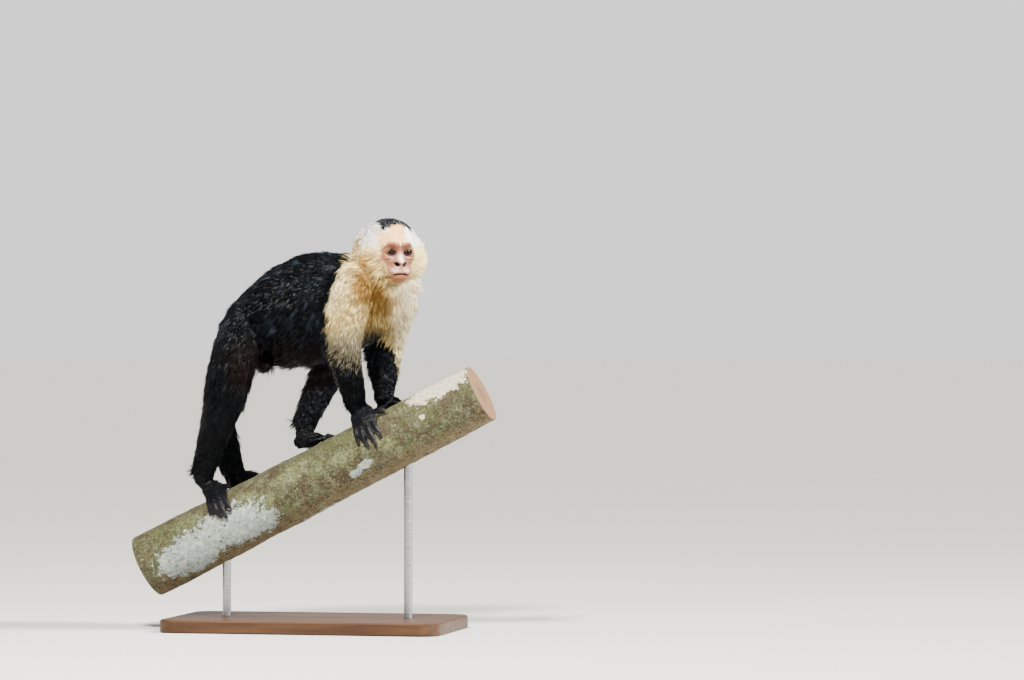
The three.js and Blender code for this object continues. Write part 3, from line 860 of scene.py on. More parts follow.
# The dark roots are painted shade deep in the coat.
TUFT_TONE_AND_ROOT_SHADE = np.array([0.45, 0.92, 1.1])  # how light a tuft is at its root, belly and tip
TUFT_FACES = [(0, 2, 1), (3, 4, 6), (4, 5, 6), (5, 3, 6)]
TUFT_FACES += [(0, 1, 4), (0, 4, 3), (1, 2, 5), (1, 5, 4), (2, 0, 3), (2, 3, 5)]
PATCH = 0.0015  # half the side of a tuft's patch in its bake map
# For each part: length, width, and how far the tufts stand up at their roots, in degrees.
COAT = {
    "head": (9, 0.8, 24), "neck": (20, 0.95, 26), "chest": (22, 1.15, 17), "belly": (24, 1.35, 16),
    "upper_arm": (19, 1.05, 20), "forearm": (14, 1.05, 21), "hand": (5, 0.8, 16),
    "thigh": (21, 1.3, 19), "shank": (15, 1.1, 22), "foot": (5, 0.8, 16), "ear": (4.5, 0.7, 30),
    "scrotum": (11, 1.0, 26), "tail_base": (16, 1.15, 26), "tail_middle": (14, 1.15, 24),
    "tail_tip": (10, 1.05, 20),
}
REGIONS = {
    "coat_head_right": ["head", "right_ear"],
    "coat_head_left": ["head", "left_ear"],
    "coat_neck": ["neck"],
    "coat_chest": ["chest"],
    "coat_belly": ["belly", "scrotum"],
    "coat_tail_base": ["tail_base"],
    "coat_tail_middle": ["tail_middle"],
    "coat_tail_tip": ["tail_tip"],
    "coat_right_arm": ["right_upper_arm", "right_forearm", "right_hand"],
    "coat_left_arm": ["left_upper_arm", "left_forearm", "left_hand"],
    "coat_right_thigh": ["right_thigh"],
    "coat_left_thigh": ["left_thigh"],
    "coat_right_shank": ["right_shank", "right_foot"],
    "coat_left_shank": ["left_shank", "left_foot"],
}


def axis_of(name):
    """The middle and the direction of a long straight solid."""
    points = vertices_of(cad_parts[name].data)
    centre = (points.max(axis=0) + points.min(axis=0)) / 2
    _, _, ways = np.linalg.svd(points - points.mean(axis=0), full_matrices=False)
    way = ways[0] * np.sign(ways[0][0])
    return centre, way


def where_hair_grows(skin):
    """A share for each vertex: none on the face, ear cups, palms, soles and digits."""
    place = in_head(skin.points)
    share = step(0.0, 0.3, furred(place))
    eye = np.hypot(np.abs(place[:, 1]) - EYE_OUT, place[:, 2])
    down = step(0.62, 0.95, face_edge(place)) * step(13.5, 17, eye)
    down = down * np.maximum(step(9, 17, np.abs(place[:, 1])), step(5, 10, place[:, 2]))
    share = np.maximum(share * step(10.5, 13.5, eye), 0.9 * down) * (1 - lips_zone(place))
    share = np.maximum(share * ear_gap(skin.points), 0.8 * ear_rim(skin.points))
    centre, way = axis_of("perch_branch")
    off = skin.points - centre
    off = unit(off - (off @ way)[:, None] * way)
    outer = step(0.15, 0.5, (off * skin.normals).sum(axis=1))
    for index, name in enumerate(FLESH):
        ours = skin.parts == index
        if part_of(name) in ("hand", "foot"):
            past = skin.reach - np.percentile(skin.reach[ours], 4)
            tips = skin.points[ours & (skin.reach > np.percentile(skin.reach[ours], 90))].mean(axis=0)
            rear = step(0.2, -0.3, skin.normals @ unit(tips - skin.points[ours].mean(axis=0)))
            fades = (30, 10) if part_of(name) == "hand" else (46, 20)
            bare = step(*fades, past) * np.clip(outer + rear + step(24, 12, past), 0, 1)
            share = np.where(ours, bare, share)
    return share


def ear_gap(points):
    """0 on an ear, and 1 away from it."""
    zones = [in_ear(points, side) for side in SIDES]
    return np.min([1 - near * step(1.15, 0.98, spread) for spread, _, _, near in zones], axis=0)


def ear_rim(points):
    """1 along the rim of an ear, which carries its own short hair."""
    zones = [in_ear(points, side) for side in SIDES]
    rims = [near * step(0.5, 0.72, spread) * step(1.25, 1.05, spread) for spread, _, _, near in zones]
    return np.max(rims, axis=0)


# Where the coat is longer and stands up more: a place and its reach, in millimetres, and what is
# added to the length, in millimetres, and to the lift, in degrees.
SHAGGY = [
    ((-55, 5, 372), (48, 45, 18), 9, 24), ((-150, -40, 350), (28, 40, 48), 5, 14),
    ((-92, -45, 328), (16, 30, 30), 4, 14), ((-25, 50, 345), (24, 40, 50), 5, 12),
    ((-120, 20, 250), (40, 40, 60), 3, 6), ((62, -50, 350), (14, 30, 30), 3, 12),
    ((64, 40, 385), (14, 30, 34), 5, 20), ((-140, 5, 434), (18, 40, 18), -12, -30),
    ((82, -50, 507), (22, 22, 16), -4, -10), ((56, 0, 528), (22, 24, 16), -9, -8),
    ((128, 30, 450), (26, 40, 60), 2, 14),
]


def sizes_at(points, parts):
    """Length, width and lift of the coat at each point."""
    table = np.array([COAT[part_of(name)] for name in FLESH], float)[parts]
    length, width, lift = table.T
    f, l, u = in_head(points).T
    head = parts == FLESH.index("head")
    away = step(0.98, 1.8, face_edge(in_head(points)))
    side = step(20, 34, np.abs(l)) * step(24, 4, u)
    grown = mix(3.0, 8.0, away) + 6.5 * side + 4 * step(-20, -44, u)
    grown = mix(grown, 15, step(-46, -58, f)) * mix(0.45, 1.0, ear_nearness(points))
    ruff = step(22, 30, l) * step(20, 6, u) * step(-60, -40, f)
    behind = behind_ear(points)
    grown = mix(mix(grown, 15.5, ruff), 13.0, behind)
    length = np.where(head, grown, length)
    width = np.where(head, mix(0.42, 0.74, away), width)
    rear = step(-44, -58, f) * step(22, 8, u)
    lift = np.where(head, mix(16, 27, away) + 12 * side + 28 * ruff + 22 * behind + 14 * rear, lift)
    rim = ear_rim(points)
    length, width, lift = mix(length, 6, rim), mix(width, 0.55, rim), mix(lift, 26, rim)
    for heart, reach, longer, steeper in SHAGGY:
        here = blob(points / MM, heart, reach) * (parts != FLESH.index("head"))
        length, lift = length + longer * here, lift + steeper * here
    return length, width, lift


def behind_ear(points):
    """1 just behind an ear, where a longer ruff stands up."""
    zones = [in_ear(points, side) for side in SIDES]
    ring = [step(0.95, 1.15, spread) * step(2.6, 1.6, spread) * step(0.0, 0.5, back) * near
            for spread, back, _, near in zones]
    return np.max(ring, axis=0)


def ear_nearness(points):
    """0 at and in front of the right ear, where the coat is short, and 1 away from it."""
    spread, back, _, close = in_ear(points, "right")
    return np.clip(step(1.0, 2.3, spread) + step(0.1, 0.7, back) + (1 - close), 0, 1)


def sown(skin, random):
    """Roots spread evenly over the skin, thicker where the tufts are small."""
    a, b, c = (skin.points[skin.triangles[:, k]] for k in range(3))
    area = np.linalg.norm(np.cross(b - a, c - a), axis=1) / 2 / MM**2
    middle_of = (a + b + c) / 3
    parts = skin.parts[skin.triangles[:, 0]]
    length, width, _ = sizes_at(middle_of, parts)
    share = where_hair_grows(skin)[skin.triangles].mean(axis=1)
    wanted = area * share / (length * width)
    wanted *= TUFTS / wanted.sum()
    ladder = np.concatenate([[0], np.cumsum(wanted)])
    spots = (np.arange(TUFTS) + random.random(TUFTS)) * ladder[-1] / TUFTS
    chosen = np.clip(np.searchsorted(ladder, spots) - 1, 0, len(area) - 1)
    u, v = random.random(TUFTS), random.random(TUFTS)
    flip = u + v > 1
    u, v = np.where(flip, 1 - u, u), np.where(flip, 1 - v, v)
    return chosen, np.stack([1 - u - v, u, v], axis=1)


def carried(values, skin, chosen, weights):
    """Vertex values at the roots."""
    corners = values[skin.triangles[chosen]]
    shape = weights if values.ndim == 1 else weights[:, :, None]
    return (corners * shape).sum(axis=1)


def rooted(points, normals, body):
    """Roots near the face moved onto the finished skin, where it stands out from the plain one."""
    ours = np.flatnonzero((face_edge(in_head(points)) < FACE_REACH) | (ear_zone(points) > 0))
    tree = BVHTree.FromPolygons(vertices_of(body.data).tolist(), triangles_of(body.data).tolist())
    points = raise_ears(points, normals)
    points[ours] = [tree.find_nearest(p)[0] for p in points[ours].tolist()]
    return points


class Coat:
    """Every tuft as arrays, one row for each."""

    def __init__(self, skin, body):
        random = np.random.default_rng(SEED)
        chosen, weights = sown(skin, random)
        self.normal = unit(carried(skin.normals, skin, chosen, weights))
        self.root = rooted(carried(skin.points, skin, chosen, weights), self.normal, body)
        self.parts = skin.parts[skin.triangles[chosen, 0]]
        self.bend = carried(skin.bend, skin, chosen, weights)
        flow = carried(skin.flow, skin, chosen, weights)
        order = carried(skin.order, skin, chosen, weights)
        length, width, lift = sizes_at(self.root, self.parts)
        across = np.cross(self.normal, unit(flow))
        lock = fine_noise(self.root, 9, 11, 2)
        wide_lock = fine_noise(self.root, 26, 12, 2)
        swerve = 0.34 * lock + 0.22 * wide_lock + 0.13 * random.normal(size=TUFTS)
        self.along = along_surface(flow + across * swerve[:, None], self.normal)
        self.across = np.cross(self.normal, self.along)
        curl = np.array([part_of(FLESH[p]) not in ("hand", "foot") for p in self.parts])
        self.curl = 0.09 * random.normal(size=TUFTS) * curl
        self.length = length * MM * (1 + 0.16 * wide_lock) * random.uniform(0.72, 1.22, TUFTS)
        self.width = width * MM * random.uniform(0.75, 1.2, TUFTS)
        stand = lift * (1 + 0.32 * fine_noise(self.root, 7, 13, 2)) + 4 * random.normal(size=TUFTS)
        stray = random.random(TUFTS) < STRAYS
        stand = np.clip(stand + 16 * stray, 6, 62)
        tame = step(0.15, 0.6, order) * mix(1.0, 0.35, step(18, 50, self.bend))
        self.lift = np.radians(stand * mix(0.3, 1.0, tame))
        self.length = self.length * mix(0.6, 1.0, tame)
        self.luck = random.random(TUFTS)
        self.tint = random.normal(size=TUFTS)
        self.gather(random)
        self.shade = self.shades()

    def grown(self):
        """The root, belly and tip of each tuft, curving with the skin beneath it."""
        rise, bend = np.sin(self.lift), np.clip(self.bend, -18, 70)
        spine = []
        for t in (0.0, BELLY_OF_TUFT, 1.0):
            turn = np.where(np.abs(bend) < 1, 1, bend) * self.length * t + 1e-9
            ahead = self.length * t * np.sin(turn) / turn
            drop = self.length * t * (1 - np.cos(turn)) / turn
            stand = self.length * rise * (t - 0.45 * t**2) - 0.5 * MM * (1 - t)
            side = self.curl * self.length * t**2
            outward = self.normal * np.cos(turn)[:, None] + self.along * np.sin(turn)[:, None]
            spine.append(self.root + self.along * ahead[:, None] - self.normal * drop[:, None]
                         + outward * stand[:, None] + self.across * side[:, None])
        return spine

    def gather(self, random):
        """Draws the tufts together into locks: each leans to the tip of the lock nearest its root."""
        spine = self.grown()
        leaders = random.choice(TUFTS, TUFTS // LOCK, replace=False)
        tree = kdtree.KDTree(len(leaders))
        for k, leader in enumerate(leaders.tolist()):
            tree.insert(self.root[leader], k)
        tree.balance()
        self.lock = np.array([tree.find(root)[1] for root in self.root])
        led = leaders[self.lock]
        same = (self.along * self.along[led]).sum(axis=1)
        near = np.linalg.norm(self.root - self.root[led], axis=1) / self.length
        pull = step(0.2, 0.7, same) * step(0.6, 0.25, near)
        pull = pull * random.uniform(0.35, 0.85, len(leaders))[self.lock]
        for k, share in ((1, 0.3), (2, 0.8)):
            spine[k] = mix(spine[k], spine[k][led], share * pull)
        self.spine = spine
        self.lock_tone = random.normal(size=len(leaders))[self.lock]

    def shades(self):
        pale = pale_share(self.root, self.parts)
        chosen = self.luck < np.clip(pale, 0, 1)
        light = pale_coat(self.root, self.parts)
        light = light * (1 + 0.09 * self.tint + 0.07 * self.lock_tone)[:, None]
        golden = (self.lock_tone < -0.6) & (self.parts != FLESH.index("head")) & (self.root[:, 2] > 430 * MM)
        light = np.where(golden[:, None], light * [0.94, 0.85, 0.72], light)
        dark = dark_coat(self.root) * (1 + 0.2 * self.tint)[:, None]
        # Painted highlight: some locks of the black coat lightened towards blue grey.
        shine = step(0.9, 2.0, self.lock_tone) * step(250, 420, self.root[:, 2] / MM)
        dark = dark + 0.4 * shine[:, None] * linear(BLACK["sheen"])
        # Painted rim highlight: some dark hairs of the head lightened towards grey lilac.
        cap_rim_highlight = step(0.2, 1.6, self.tint) * (self.parts == FLESH.index("head"))
        dark = dark + 0.36 * cap_rim_highlight[:, None] * linear(CAP_RIM_HIGHLIGHT)
        return np.clip(np.where(chosen[:, None], light, dark), 0.002, 1)

    def mesh(self, name, rows):
        """The chosen tufts as one closed mesh each, joined, with their colours and bake map."""
        n, s, width = self.normal[rows], self.across[rows], self.width[rows]
        base, belly, tip = (place[rows] for place in self.spine)
        rings = []
        for place, share in ((base, 0.8), (belly, 1.0)):
            half = (width * share / 2)[:, None]
            for left, up in ((-1.0, -0.25), (1.0, -0.25), (0.0, 0.5)):
                rings.append(place + s * half * left + n * half * up)
        points = np.stack(rings + [tip], axis=1)
        count = len(n)
        faces = np.array(TUFT_FACES)[None] + 7 * np.arange(count)[:, None, None]
        made = mesh_object(name, points.reshape(-1, 3), faces.reshape(-1, 3))
        # Each tuft darkened towards its root as painted shade.
        lightness = np.repeat(TUFT_TONE_AND_ROOT_SHADE, [3, 3, 1])
        shade = self.shade[rows][:, None, :] * lightness[None, :, None]
        paint(made, shade.reshape(-1, 3))
        bake_map(made, self.root[rows], n, self.parts[rows])
        return made


def bake_map(piece, root, normal, parts):
    """Lays each tuft on a small patch, at its root's place on an unwrap of the skin.

    The skin of each node is unwrapped from the six sides of a box, and the charts are packed in
    shelves over the unit square.
    """
    axis = np.abs(normal).argmax(axis=1)
    sign = (np.take_along_axis(normal, axis[:, None], 1)[:, 0] > 0).astype(int)
    chart = parts * 6 + axis * 2 + sign
    flat = np.stack([root[np.arange(len(root)), (axis + 1) % 3],
                     root[np.arange(len(root)), (axis + 2) % 3]], axis=1)
    names, which = np.unique(chart, return_inverse=True)
    low = np.array([flat[which == k].min(axis=0) for k in range(len(names))])
    size = np.array([flat[which == k].max(axis=0) for k in range(len(names))]) - low + 3 * MM
    scale, corners = 1 / np.sqrt(size.prod(axis=1).sum()), None
    while corners is None:
        corners = shelved(size * scale)
        scale *= 0.97
    scale /= 0.97
    place = corners[which] + (flat - low[which] + 1.5 * MM) * scale
    ladder = np.array([-1, -1, -1, 0, 0, 0, 1.0]) * PATCH
    spread = np.array([-1, 1, 0, -1, 1, 0, 0.0]) * PATCH
    uv = place[:, None, :] + np.stack([spread, ladder], axis=1)[None]
    uv = np.clip(uv, 0, 1).reshape(-1, 2)
    layer = piece.data.uv_layers.new(name="OFBake")
    corner = np.empty(len(piece.data.loops), np.int32)
    piece.data.loops.foreach_get("vertex_index", corner)
    layer.data.foreach_set("uv", uv[corner].astype(np.float32).ravel())


def shelved(sizes):
    """The corners of boxes set on shelves in the unit square, or None if they don't fit."""
    corners = np.zeros_like(sizes)
    x = y = shelf = 0.0
    for k in np.argsort(-sizes[:, 1]):
        wide, high = sizes[k]
        if x + wide > 1:
            x, y, shelf = 0.0, y + shelf, 0.0
        if wide > 1 or y + high > 1:
            return None
        corners[k] = x, y
        x, shelf = x + wide, max(shelf, high)
    return corners


# ---------------------------------------------------------------- materials

BLEND = {"data_type": "RGBA", "out": 2}
MULTIPLY = BLEND | {"blend_type": "MULTIPLY"}
CELL_EDGES = {"feature": "DISTANCE_TO_EDGE"}
FINE = {"Detail": 2.0, "Roughness": 0.55}
CLOUDY = {"Detail": 3.0, "Roughness": 0.55}


def new_material(name):
    made = bpy.data.materials.new(name)
    made.use_nodes = True
    made.node_tree.nodes.clear()
    return made


def node(owner, kind, inputs=(), stops=(), out=0, **settings):
    """Adds a node with its settings and links, and returns one of its outputs.

    The owner is a material, a world or a node group. Inputs pairs a socket's name or number with a
    value, or with the output that feeds it. Stops are the places on a ramp, each with its colour
    or grey.
    """
    tree = getattr(owner, "node_tree", owner)
    made = tree.nodes.new(kind if "Node" in kind else "ShaderNode" + kind)
    for key, value in settings.items():
        setattr(made, key, value)
    for key, value in dict(inputs).items():
        if isinstance(value, bpy.types.NodeSocket):
            tree.links.new(value, made.inputs[key])
        else:
            made.inputs[key].default_value = value
    bar = made.color_ramp.elements if stops else []
    while len(bar) < len(stops):
        bar.new(0.5)
    for mark, (where, shade) in zip(bar, stops):
        mark.position = where
        mark.color = colour(shade) if isinstance(shade, str) else (shade, shade, shade, 1)
    return made.outputs[out] if made.outputs else made


def per(millimetres):
    """The scale of a pattern from the real size of its grain."""
    return 1 / (millimetres * MM)


def laid_over(material, under, shade, field, stops):
    """A colour laid over another where a field, turned by the stops into a share, has it."""
    share = node(material, "ValToRGB", {"Fac": field}, stops)
    return node(material, "Mix", {0: share, 6: under, 7: colour(shade)}, **BLEND)


def ragged_patch(material, place, field, millimetres, ragged):
    """A soft field turned into a patch with a sharp, ragged edge."""
    cloud = node(material, "TexNoise", {"Vector": place, "Scale": per(millimetres), "Detail": 6.0,
                                        "Roughness": 0.75})
    cloud = node(material, "Math", {0: cloud, 1: 0.5}, operation="SUBTRACT")
    torn = node(material, "Math", {0: cloud, 1: ragged, 2: field}, operation="MULTIPLY_ADD")
    return node(material, "ValToRGB", {"Fac": torn}, [(0.49, 0.0), (0.515, 1.0)])


def keratin_hair():
    """Guard hair: each lock shines along its length, and its colour streaks from hair to hair."""
    made = new_material("guard_hair")
    place = node(made, "TexCoord", out="Object")
    shade = node(made, "Attribute", attribute_name="markings")
    hairs = node(made, "TexNoise", {"Vector": place, "Scale": per(0.7), **FINE})
    streak = node(made, "ValToRGB", {"Fac": hairs}, [(0.3, 0.78), (0.7, 1.0)])
    hair = node(made, "Mix", {0: 0.55, 6: shade, 7: streak}, **MULTIPLY)
    rough = node(made, "ValToRGB", {"Fac": shade}, [(0.0, 0.26), (0.25, 0.5)])
    shader = node(made, "BsdfPrincipled",
                  {"Base Color": hair, "Roughness": rough, "Specular IOR Level": 0.1})
    node(made, "OutputMaterial", {"Surface": shader})
    return made


def living_skin():
    """Bare skin: faint pores and creases, and a little light that goes in and comes out red."""
    made = new_material("bare_skin")
    place = node(made, "TexCoord", out="Object")
    shade = node(made, "Attribute", attribute_name="markings")
    clouds = node(made, "TexNoise", {"Vector": place, "Scale": per(2.4), **CLOUDY})
    mottle = node(made, "ValToRGB", {"Fac": clouds}, [(0.3, 0.82), (0.7, 1.0)])
    skin = node(made, "Mix", {0: 0.6, 6: shade, 7: mottle}, **MULTIPLY)
    pores = node(made, "TexNoise", {"Vector": place, "Scale": per(0.7), **FINE})
    creases = node(made, "TexVoronoi", {"Vector": place, "Scale": per(1.6)}, **CELL_EDGES)
    folds = node(made, "ValToRGB", {"Fac": creases}, [(0.0, 0.0), (0.12, 1.0)])
    normal = node(made, "Bump", {"Height": pores, "Strength": 0.5, "Distance": 0.12 * MM})
    normal = node(made, "Bump", {"Height": folds, "Strength": 0.35, "Distance": 0.10 * MM,
                                 "Normal": normal})
    rough = node(made, "ValToRGB", {"Fac": shade}, [(0.0, 0.42), (0.12, 0.58)])
    shader = node(made, "BsdfPrincipled",
                  {"Base Color": skin, "Roughness": rough, "Normal": normal,
                   "Subsurface Weight": 0.12, "Subsurface Radius": (1.0, 0.4, 0.25),
                   "Subsurface Scale": 1.2 * MM, "Specular IOR Level": 0.12})
    node(made, "OutputMaterial", {"Surface": shader})
    return made


def wet_eye():
    """An eye: a dark brown iris under a clear wet front that mirrors the lamps."""
    made = new_material("wet_eye")
    place = node(made, "TexCoord", out="Object")
    shade = node(made, "Attribute", attribute_name="markings")
    fibres = node(made, "TexNoise", {"Vector": place, "Scale": per(0.6), **FINE})
    fibres = node(made, "ValToRGB", {"Fac": fibres}, [(0.3, 0.6), (0.7, 1.0)])
    iris = node(made, "Mix", {0: 0.5, 6: shade, 7: fibres}, **MULTIPLY)
    shader = node(made, "BsdfPrincipled",
                  {"Base Color": iris, "Roughness": 0.4, "Specular IOR Level": 0.02,
                   "Coat Weight": 0.25, "Coat Roughness": 0.03, "Coat IOR": 1.38})
    node(made, "OutputMaterial", {"Surface": shader})
    return made


def horn_nail():
    """Nail: dark translucent keratin with fine ridges along it, a little polished by use."""
    made = new_material("horn_nail")
    place = node(made, "TexCoord", out="Object")
    grain = node(made, "TexNoise", {"Vector": place, "Scale": per(0.5), **FINE})
    shade = node(made, "ValToRGB", {"Fac": grain}, [(0.3, "#0e0c0c"), (0.75, "#1d1918")])
    normal = node(made, "Bump", {"Height": grain, "Strength": 0.4, "Distance": 0.06 * MM})
    shader = node(made, "BsdfPrincipled",
                  {"Base Color": shade, "Roughness": 0.45, "Specular IOR Level": 0.2,
                   "Normal": normal})
    node(made, "OutputMaterial", {"Surface": shader})
    return made


def lichened_bark():
    """Thin bark: olive grey and brown, speckled and finely cracked, with moss and pale crusts."""
    made = new_material("lichened_bark")
    place = node(made, "TexCoord", out="Object")
    field, moss, low = (node(made, "Attribute", attribute_name=name, out="Fac")
                        for name in ("crust", "moss", "underside"))
    blotch, clouds, grains, brown = (
        node(made, "TexNoise", {"Vector": place, "Scale": per(size), "Detail": 5.0, "Roughness": rough})
        for size, rough in ((15, 0.7), (46, 0.6), (3.4, 0.8), (20, 0.65)))
    bark = node(made, "ValToRGB", {"Fac": brown},
                [(0.32, "#272013"), (0.45, "#372f1d"), (0.55, "#3d3f2b"), (0.68, "#505242")])
    bark = laid_over(made, bark, "#3f4725", clouds, [(0.46, 0.0), (0.6, 0.7)])
    bark = node(made, "Mix", {0: low, 6: bark, 7: colour("#5f5238")}, **BLEND)
    for shade, pattern, stops in (("#606248", blotch, [(0.56, 0.0), (0.62, 0.6)]),
                                  ("#2c2415", blotch, [(0.38, 0.6), (0.46, 0.0)]),
                                  ("#1b170e", grains, [(0.40, 0.8), (0.48, 0.0)]),
                                  ("#6d6b57", grains, [(0.54, 0.0), (0.62, 0.45)])):
        bark = laid_over(made, bark, shade, pattern, stops)
    crack = bark_cracks(made, place)
    bark = node(made, "Mix", {0: crack, 6: bark, 7: colour("#1d1b13")}, **BLEND)
    pits = node(made, "TexVoronoi", {"Vector": place, "Scale": per(6)})
    pits = node(made, "ValToRGB", {"Fac": pits}, [(0.1, 1.0), (0.22, 0.0)])
    flank = node(made, "ValToRGB", {"Fac": low},
                 [(0.02, 0.0), (0.25, 1.0), (0.75, 1.0), (0.95, 0.0)])
    pits = node(made, "Mix", {0: 1.0, 6: pits, 7: flank}, **MULTIPLY)
    bark = node(made, "Mix", {0: pits, 6: bark, 7: colour("#120e08")}, **BLEND)
    cushion = ragged_patch(made, place, moss, 7, 2.2)
    cushion = node(made, "Mix", {0: 1.0, 6: cushion, 7: colour("#9a9a9a")}, **MULTIPLY)
    green = node(made, "ValToRGB", {"Fac": grains}, [(0.4, "#3f4728"), (0.5, "#5b623d"), (0.6, "#757b57")])
    bark = node(made, "Mix", {0: cushion, 6: bark, 7: green}, **BLEND)
    crust = ragged_patch(made, place, field, 8, 1.8)
    shade = node(made, "Mix", {0: crust, 6: bark, 7: lichen_crust(made, place)}, **BLEND)
    lumps = node(made, "TexNoise", {"Vector": place, "Scale": per(8), "Detail": 4.0, "Roughness": 0.6})
    normal = None
    height = node(made, "Mix", {0: 0.5, 6: grains, 7: lumps}, **BLEND)
    for relief, strength, depth in ((height, 1.0, 2.4), (crack, -0.8, 1.2), (crust, 0.7, 0.6)):
        inputs = {"Height": relief, "Strength": strength, "Distance": depth * MM}
        normal = node(made, "Bump", inputs | ({"Normal": normal} if normal else {}))
    shader = node(made, "BsdfPrincipled",
                  {"Base Color": shade, "Roughness": 0.85, "Specular IOR Level": 0.25,
                   "Normal": normal})
    node(made, "OutputMaterial", {"Surface": shader})
    return made


def bark_cracks(material, place):
    """Fine cracks between drawn-out plates of bark, broken off here and there."""
    plates = node(material, "Mapping", {"Vector": place, "Scale": (0.45, 1.0, 0.7)})
    split = node(material, "TexVoronoi", {"Vector": plates, "Scale": per(7)}, **CELL_EDGES)
    split = node(material, "ValToRGB", {"Fac": split}, [(0.02, 1.0), (0.09, 0.0)])
    broken = node(material, "TexNoise", {"Vector": place, "Scale": per(10), "Detail": 4.0,
                                         "Roughness": 0.7})
    broken = node(material, "ValToRGB", {"Fac": broken}, [(0.54, 0.0), (0.62, 0.7)])
    return node(material, "Mix", {0: 1.0, 6: split, 7: broken}, **MULTIPLY)


def lichen_crust(material, place):
    """Pale crusts of lichen: dotted, cracked into tiles, and warmer and paler towards the upper end, where a
    patch of sunlight is painted.
    """
    clouds = node(material, "TexNoise", {"Vector": place, "Scale": per(6), "Detail": 6.0,
                                         "Roughness": 0.75})
    pale = node(material, "ValToRGB", {"Fac": clouds},
                [(0.3, "#525b54"), (0.5, "#7b847e"), (0.7, "#9ea6a0")])
    dots = node(material, "TexVoronoi", {"Vector": place, "Scale": per(2.2)})
    tiles = node(material, "TexVoronoi", {"Vector": place, "Scale": per(9)}, **CELL_EDGES)
    toward_sunlit_end = node(material, "SeparateXYZ", {"Vector": place}, out="X")
    pale = laid_over(material, pale, "#343a31", dots, [(0.10, 0.8), (0.24, 0.0)])
    pale = laid_over(material, pale, "#4d5249", tiles, [(0.01, 0.35), (0.03, 0.0)])
    # Painted sunlight: the crusts turn warm and pale towards the upper end.
    return laid_over(material, pale, "#b9ad92", toward_sunlit_end, [(0.08, 0.0), (0.15, 0.65)])


def leafy_lichen():
    """Scales of bark and leafy lichen: matt grey green, each a bit different."""
    made = new_material("leafy_lichen")
    place = node(made, "TexCoord", out="Object")
    clouds = node(made, "TexNoise", {"Vector": place, "Scale": per(5), **FINE})
    shade = node(made, "ValToRGB", {"Fac": clouds}, [(0.3, "#2c2c1d"), (0.5, "#4c4d38"), (0.7, "#6d735f")])
    grit = node(made, "TexNoise", {"Vector": place, "Scale": per(0.8), **FINE})
    normal = node(made, "Bump", {"Height": grit, "Strength": 0.4, "Distance": 0.2 * MM})
    shader = node(made, "BsdfPrincipled",
                  {"Base Color": shade, "Roughness": 0.9, "Specular IOR Level": 0.2,
                   "Normal": normal})
    node(made, "OutputMaterial", {"Surface": shader})
    return made


def cut_wood():
    """The sawn ends of the branch: uneven year rings round a darker heart."""
    made = new_material("sawn_wood")
    place = node(made, "TexCoord", out="Object")
    rings = node(made, "Attribute", attribute_name="rings", out="Fac")
    wobble = node(made, "TexNoise", {"Vector": place, "Scale": per(24), **CLOUDY})
    summed = node(made, "Math", {0: wobble, 1: 5.0, 2: rings}, operation="MULTIPLY_ADD")
    wave = node(made, "Math", {0: summed, 1: 1.0}, operation="FRACT")
    shade = node(made, "ValToRGB", {"Fac": wave},
                 [(0.0, "#65482a"), (0.6, "#7a5a36"), (0.9, "#402a15"), (1.0, "#65482a")])
    old = node(made, "Math", {0: rings, 1: 0.08}, operation="MULTIPLY")
    old = node(made, "ValToRGB", {"Fac": old}, [(0.1, 0.6), (0.6, 1.0)])
    shade = node(made, "Mix", {0: 1.0, 6: shade, 7: old}, **MULTIPLY)
    fibres = node(made, "TexNoise", {"Vector": place, "Scale": per(1.6), **CLOUDY})
    fibres = node(made, "ValToRGB", {"Fac": fibres}, [(0.3, 0.7), (0.7, 1.0)])
    shade = node(made, "Mix", {0: 0.6, 6: shade, 7: fibres}, **MULTIPLY)
    normal = node(made, "Bump", {"Height": wave, "Strength": 0.3, "Distance": 0.25 * MM})
    shader = node(made, "BsdfPrincipled",
                  {"Base Color": shade, "Roughness": 0.75, "Normal": normal})
    node(made, "OutputMaterial", {"Surface": shader})
    return made


def oiled_walnut():
    """The base: dark walnut, planed and oiled, its grain along the board."""
    made = new_material("oiled_walnut")
    place = node(made, "TexCoord", out="Object")
    along = node(made, "Mapping", {"Vector": place, "Scale": (0.07, 1.0, 1.0)})
    grain = node(made, "TexNoise", {"Vector": along, "Scale": per(3.0), "Detail": 5.0, "Roughness": 0.6})
    bands = node(made, "TexNoise", {"Vector": along, "Scale": per(16), "Detail": 2.0, "Roughness": 0.5})
    shade = node(made, "ValToRGB", {"Fac": bands}, [(0.3, "#2e1c10"), (0.5, "#3d2818"), (0.72, "#4b3320")])
    pores = node(made, "ValToRGB", {"Fac": grain}, [(0.35, 0.62), (0.65, 1.0)])
    shade = node(made, "Mix", {0: 0.7, 6: shade, 7: pores}, **MULTIPLY)
    rough = node(made, "ValToRGB", {"Fac": grain}, [(0.3, 0.5), (0.7, 0.36)])
    normal = node(made, "Bump", {"Height": grain, "Strength": 0.25, "Distance": 0.15 * MM})
    shader = node(made, "BsdfPrincipled",
                  {"Base Color": shade, "Roughness": rough, "Specular IOR Level": 0.2,
                   "Normal": normal})
    node(made, "OutputMaterial", {"Surface": shader})
    return made


